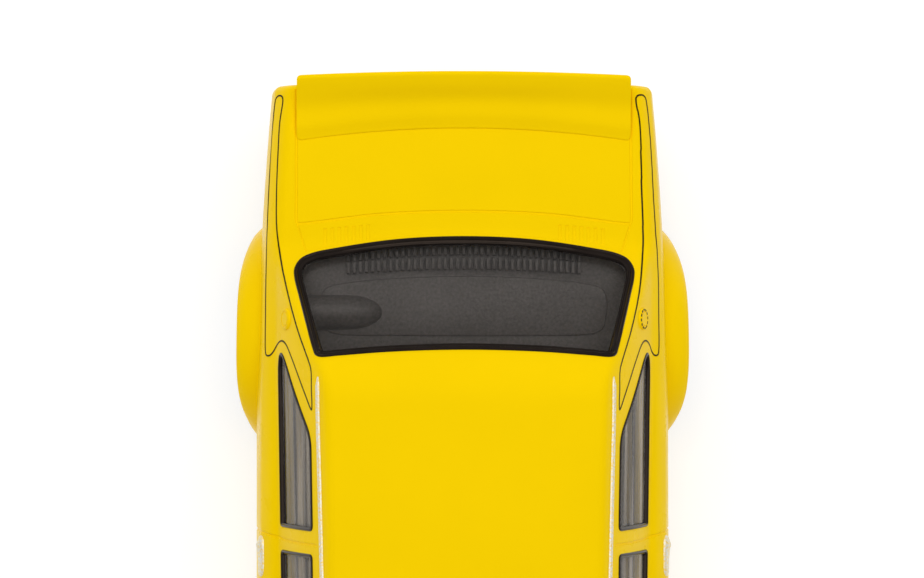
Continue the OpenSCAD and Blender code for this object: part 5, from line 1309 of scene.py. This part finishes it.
def finish(name, colour, rough, tone=0.08, metal=0.0, size=3.0, uneven=0.06, depth=0.0, spots=0.2, coat=0.0,
           tint=(1, 1, 1), shine=0.5):
    material, tree, shader = new_material(name)
    dark, light = [c * (1 - tone) for c in colour], [min(1.0, c * (1 + tone)) for c in colour]
    feed(tree, shader, {
        "Base Color": toned(tree, ranged(tree, noise(tree, size), 0, 1), dark, light),
        "Roughness": ranged(tree, noise(tree, 0.4 * size), max(0.02, rough - uneven), rough + uneven),
        "Metallic": metal, "Specular Tint": (*tint, 1), "Specular IOR Level": shine,
        "Coat Weight": coat, "Coat Roughness": 0.06})
    if depth:
        grain(tree, shader, noise(tree, spots, 2.0), depth)
    return material


materials = {name: finish(name, **settings) for name, settings in FINISHES.items()}
print("plain finishes:", len(materials))

# %% [markdown]
# ## Silver print, glass and wound metal
# Silver print wears off the rails, so bright metal is mixed with the yellow beneath it by a broken noise.
# Smoked windows let tinted light through and mirror the studio by Fresnel. Along the sides, painted
# reflection streaks lie on them as a pale film. Braid and windings get their strands from waves in the bump.

# %% Worn silver print
BENEATH, SILVER = (0.88, 0.63, 0.12), (0.8, 0.77, 0.68)


def make_silver():
    material, tree, shader = new_material("silver_paint")
    worn = ranged(tree, noise(tree, 0.24, 5.0), 0, 1, 0.34, 0.56)
    feed(tree, shader, {
        "Base Color": toned(tree, worn, BENEATH, SILVER), "Metallic": 0.25,
        "Roughness": ranged(tree, noise(tree, 0.3), 0.28, 0.5)})
    grain(tree, shader, noise(tree, 0.2), 0.05, 0.5)
    return material


materials["silver_paint"] = make_silver()

# %% Glass
# Tones of the pale film that paints reflection streaks on the windows.
REFLECTION_FILM_TONES = (0.62, 0.55, 0.47), (0.8, 0.72, 0.63)
STREAK_STRETCH = (1, 0.03, 1)


def painted_reflection_streaks(tree, amount):
    """Painted reflection: long light streaks along the car, only where a surface faces sideways."""
    facing = add_node(tree, "SeparateXYZ", {"Vector": add_node(tree, "TexCoord", {})["Normal"]})["X"]
    sideways = add_node(tree, "Math", {0: facing}, operation="ABSOLUTE")["Value"]
    upright = ranged(tree, sideways, 0.02, 1, 0.5, 0.75)
    # Painted reflection streaks, stretched along the car.
    streak_mask = ranged(tree, noise(tree, 1.0, 2.0, STREAK_STRETCH), 0.1 * amount, amount, 0.42, 0.7)
    return add_node(tree, "Math", {0: upright, 1: streak_mask}, operation="MULTIPLY")["Value"]


def make_glass(name, tint, streak_reflection, rough=0.04, ior=1.46):
    """Thin tinted moulding: light passes by a filter, gloss follows Fresnel, upright panes get painted
    reflection streaks.
    """
    material, tree, shader = new_material(name)
    tree.nodes.remove(shader)
    tones = toned(tree, ranged(tree, noise(tree, 6), 0, 1), [0.97 * c for c in tint], tint)
    through = add_node(tree, "BsdfTransparent", {"Color": tones})["BSDF"]
    uneven = ranged(tree, noise(tree, 4), rough, 2 * rough)
    gloss = add_node(tree, "BsdfGlossy", {"Roughness": uneven})["BSDF"]
    # Painted reflection: a pale diffuse film laid where the streaks fall.
    reflection_film = add_node(tree, "BsdfDiffuse", {"Color": toned(tree, noise(tree, 3), *REFLECTION_FILM_TONES)})["BSDF"]
    fresnel = add_node(tree, "Fresnel", {"IOR": ior})["Fac"]
    pane_shader = add_node(tree, "MixShader", {"Fac": fresnel, 1: through, 2: gloss})["Shader"]
    with_reflection_film = add_node(tree, "MixShader", {"Fac": painted_reflection_streaks(tree, streak_reflection), 1: pane_shader, 2: reflection_film})["Shader"]
    feed(tree, tree.nodes["Material Output"], {"Surface": with_reflection_film})
    return material


# The third number of each is the strength of its painted reflection streaks.
materials["smoked_glass"] = make_glass("smoked_glass", (0.79, 0.775, 0.765), 0.42, ior=1.3)
materials["clear_lens"] = make_glass("clear_lens", (0.93, 0.94, 0.95), 0.05, 0.02)
materials["red_lens"] = make_glass("red_lens", (0.86, 0.05, 0.03), 0.02, 0.03)

# %% Braid and windings
WAVE_LENGTH = 0.314


def make_strands(name, colour, pitch, direction, depth):
    """Metal with a dark and a light wave for each strand. WAVE_LENGTH is that of the texture at scale 1."""
    material, tree, shader = new_material(name)
    coords = add_node(tree, "TexCoord", {})["Object"]
    strands = {"Vector": coords, "Scale": WAVE_LENGTH / (pitch * MM), "Distortion": 1.2}
    wave = add_node(tree, "TexWave", strands, bands_direction=direction)["Fac"]
    dark, light = [c * 0.6 for c in colour], [min(1.0, c * 1.15) for c in colour]
    feed(tree, shader, {
        "Base Color": toned(tree, wave, dark, light), "Metallic": 1.0,
        "Roughness": ranged(tree, noise(tree, 0.5), 0.28, 0.45)})
    grain(tree, shader, wave, depth, 0.7)
    return material


materials["tinned_braid"] = make_strands("tinned_braid", (0.62, 0.5, 0.36), 0.3, "DIAGONAL", 0.08)
materials["copper_parts"] = make_strands("copper_parts", (0.62, 0.26, 0.11), 0.25, "X", 0.05)
print("finishes:", len(materials))

# %% [markdown]
# ## Put the pieces on the car
# Each piece rides on the body of the frame that carries it, stands in for the node it shows and names the
# slot of its finish. Nodes that stay as they are take the finish of their own slot. The form was only a
# pattern, so it goes.

# %% Put the pieces on the car
slot_of = {entry["node"]: entry["material_slot"] for entry in frame["record"]["subparts"]}
body_of = {node: body for body, members in frame["record"]["behaviour"]["bodies"].items() for node in members}


def painted(obj, slot):
    obj.data.materials.clear()
    obj.data.materials.append(materials[slot])


def place(obj, node=None, slot=None):
    """Puts a piece on its node's body, or one that stands for no node on the car itself."""
    slot = slot or slot_of[node]
    painted(obj, slot)
    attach(obj, body_of[node] if node else "car")
    if node:
        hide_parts(node)


bpy.data.objects.remove(form)
for obj, node in ((shell, "body_shell"), (clear_windows, "glazing"), (spoiler, "boot_spoiler"),
                  (air_dam, "front_air_dam"), (nose_panel, "grille"), (bowls, "headlamp_reflectors"),
                  (lenses, "headlamp_lenses"), (tail_lamps, "tail_lamp_lenses"),
                  (wipers, "windscreen_wipers"), (mirrors[0], "door_mirror_left"),
                  (mirrors[1], "door_mirror_right"), (helmet, "driver_helmet")):
    place(obj, node)
for obj, slot in ((window_seals, "black_trim"), (rails, "silver_paint"), (handles, "silver_paint"),
                  (caps, "yellow_body"), (stripes, "black_trim"), (mirror_glass, "plated_bowl"),
                  (visor, "black_trim"), (parcel_shelf, "interior_plastic"), (cap_print, "black_trim")):
    place(obj, slot=slot)
for obj in (stripes, cap_print):
    painted(obj, "stripe_ink")
for obj, node in wheel_pieces:
    obj.name = node + "_look"
    place(obj, node)
for node, obj in kept_pieces.items():
    place(obj, node)
for node, obj in nodes.items():
    painted(obj, slot_of[node])
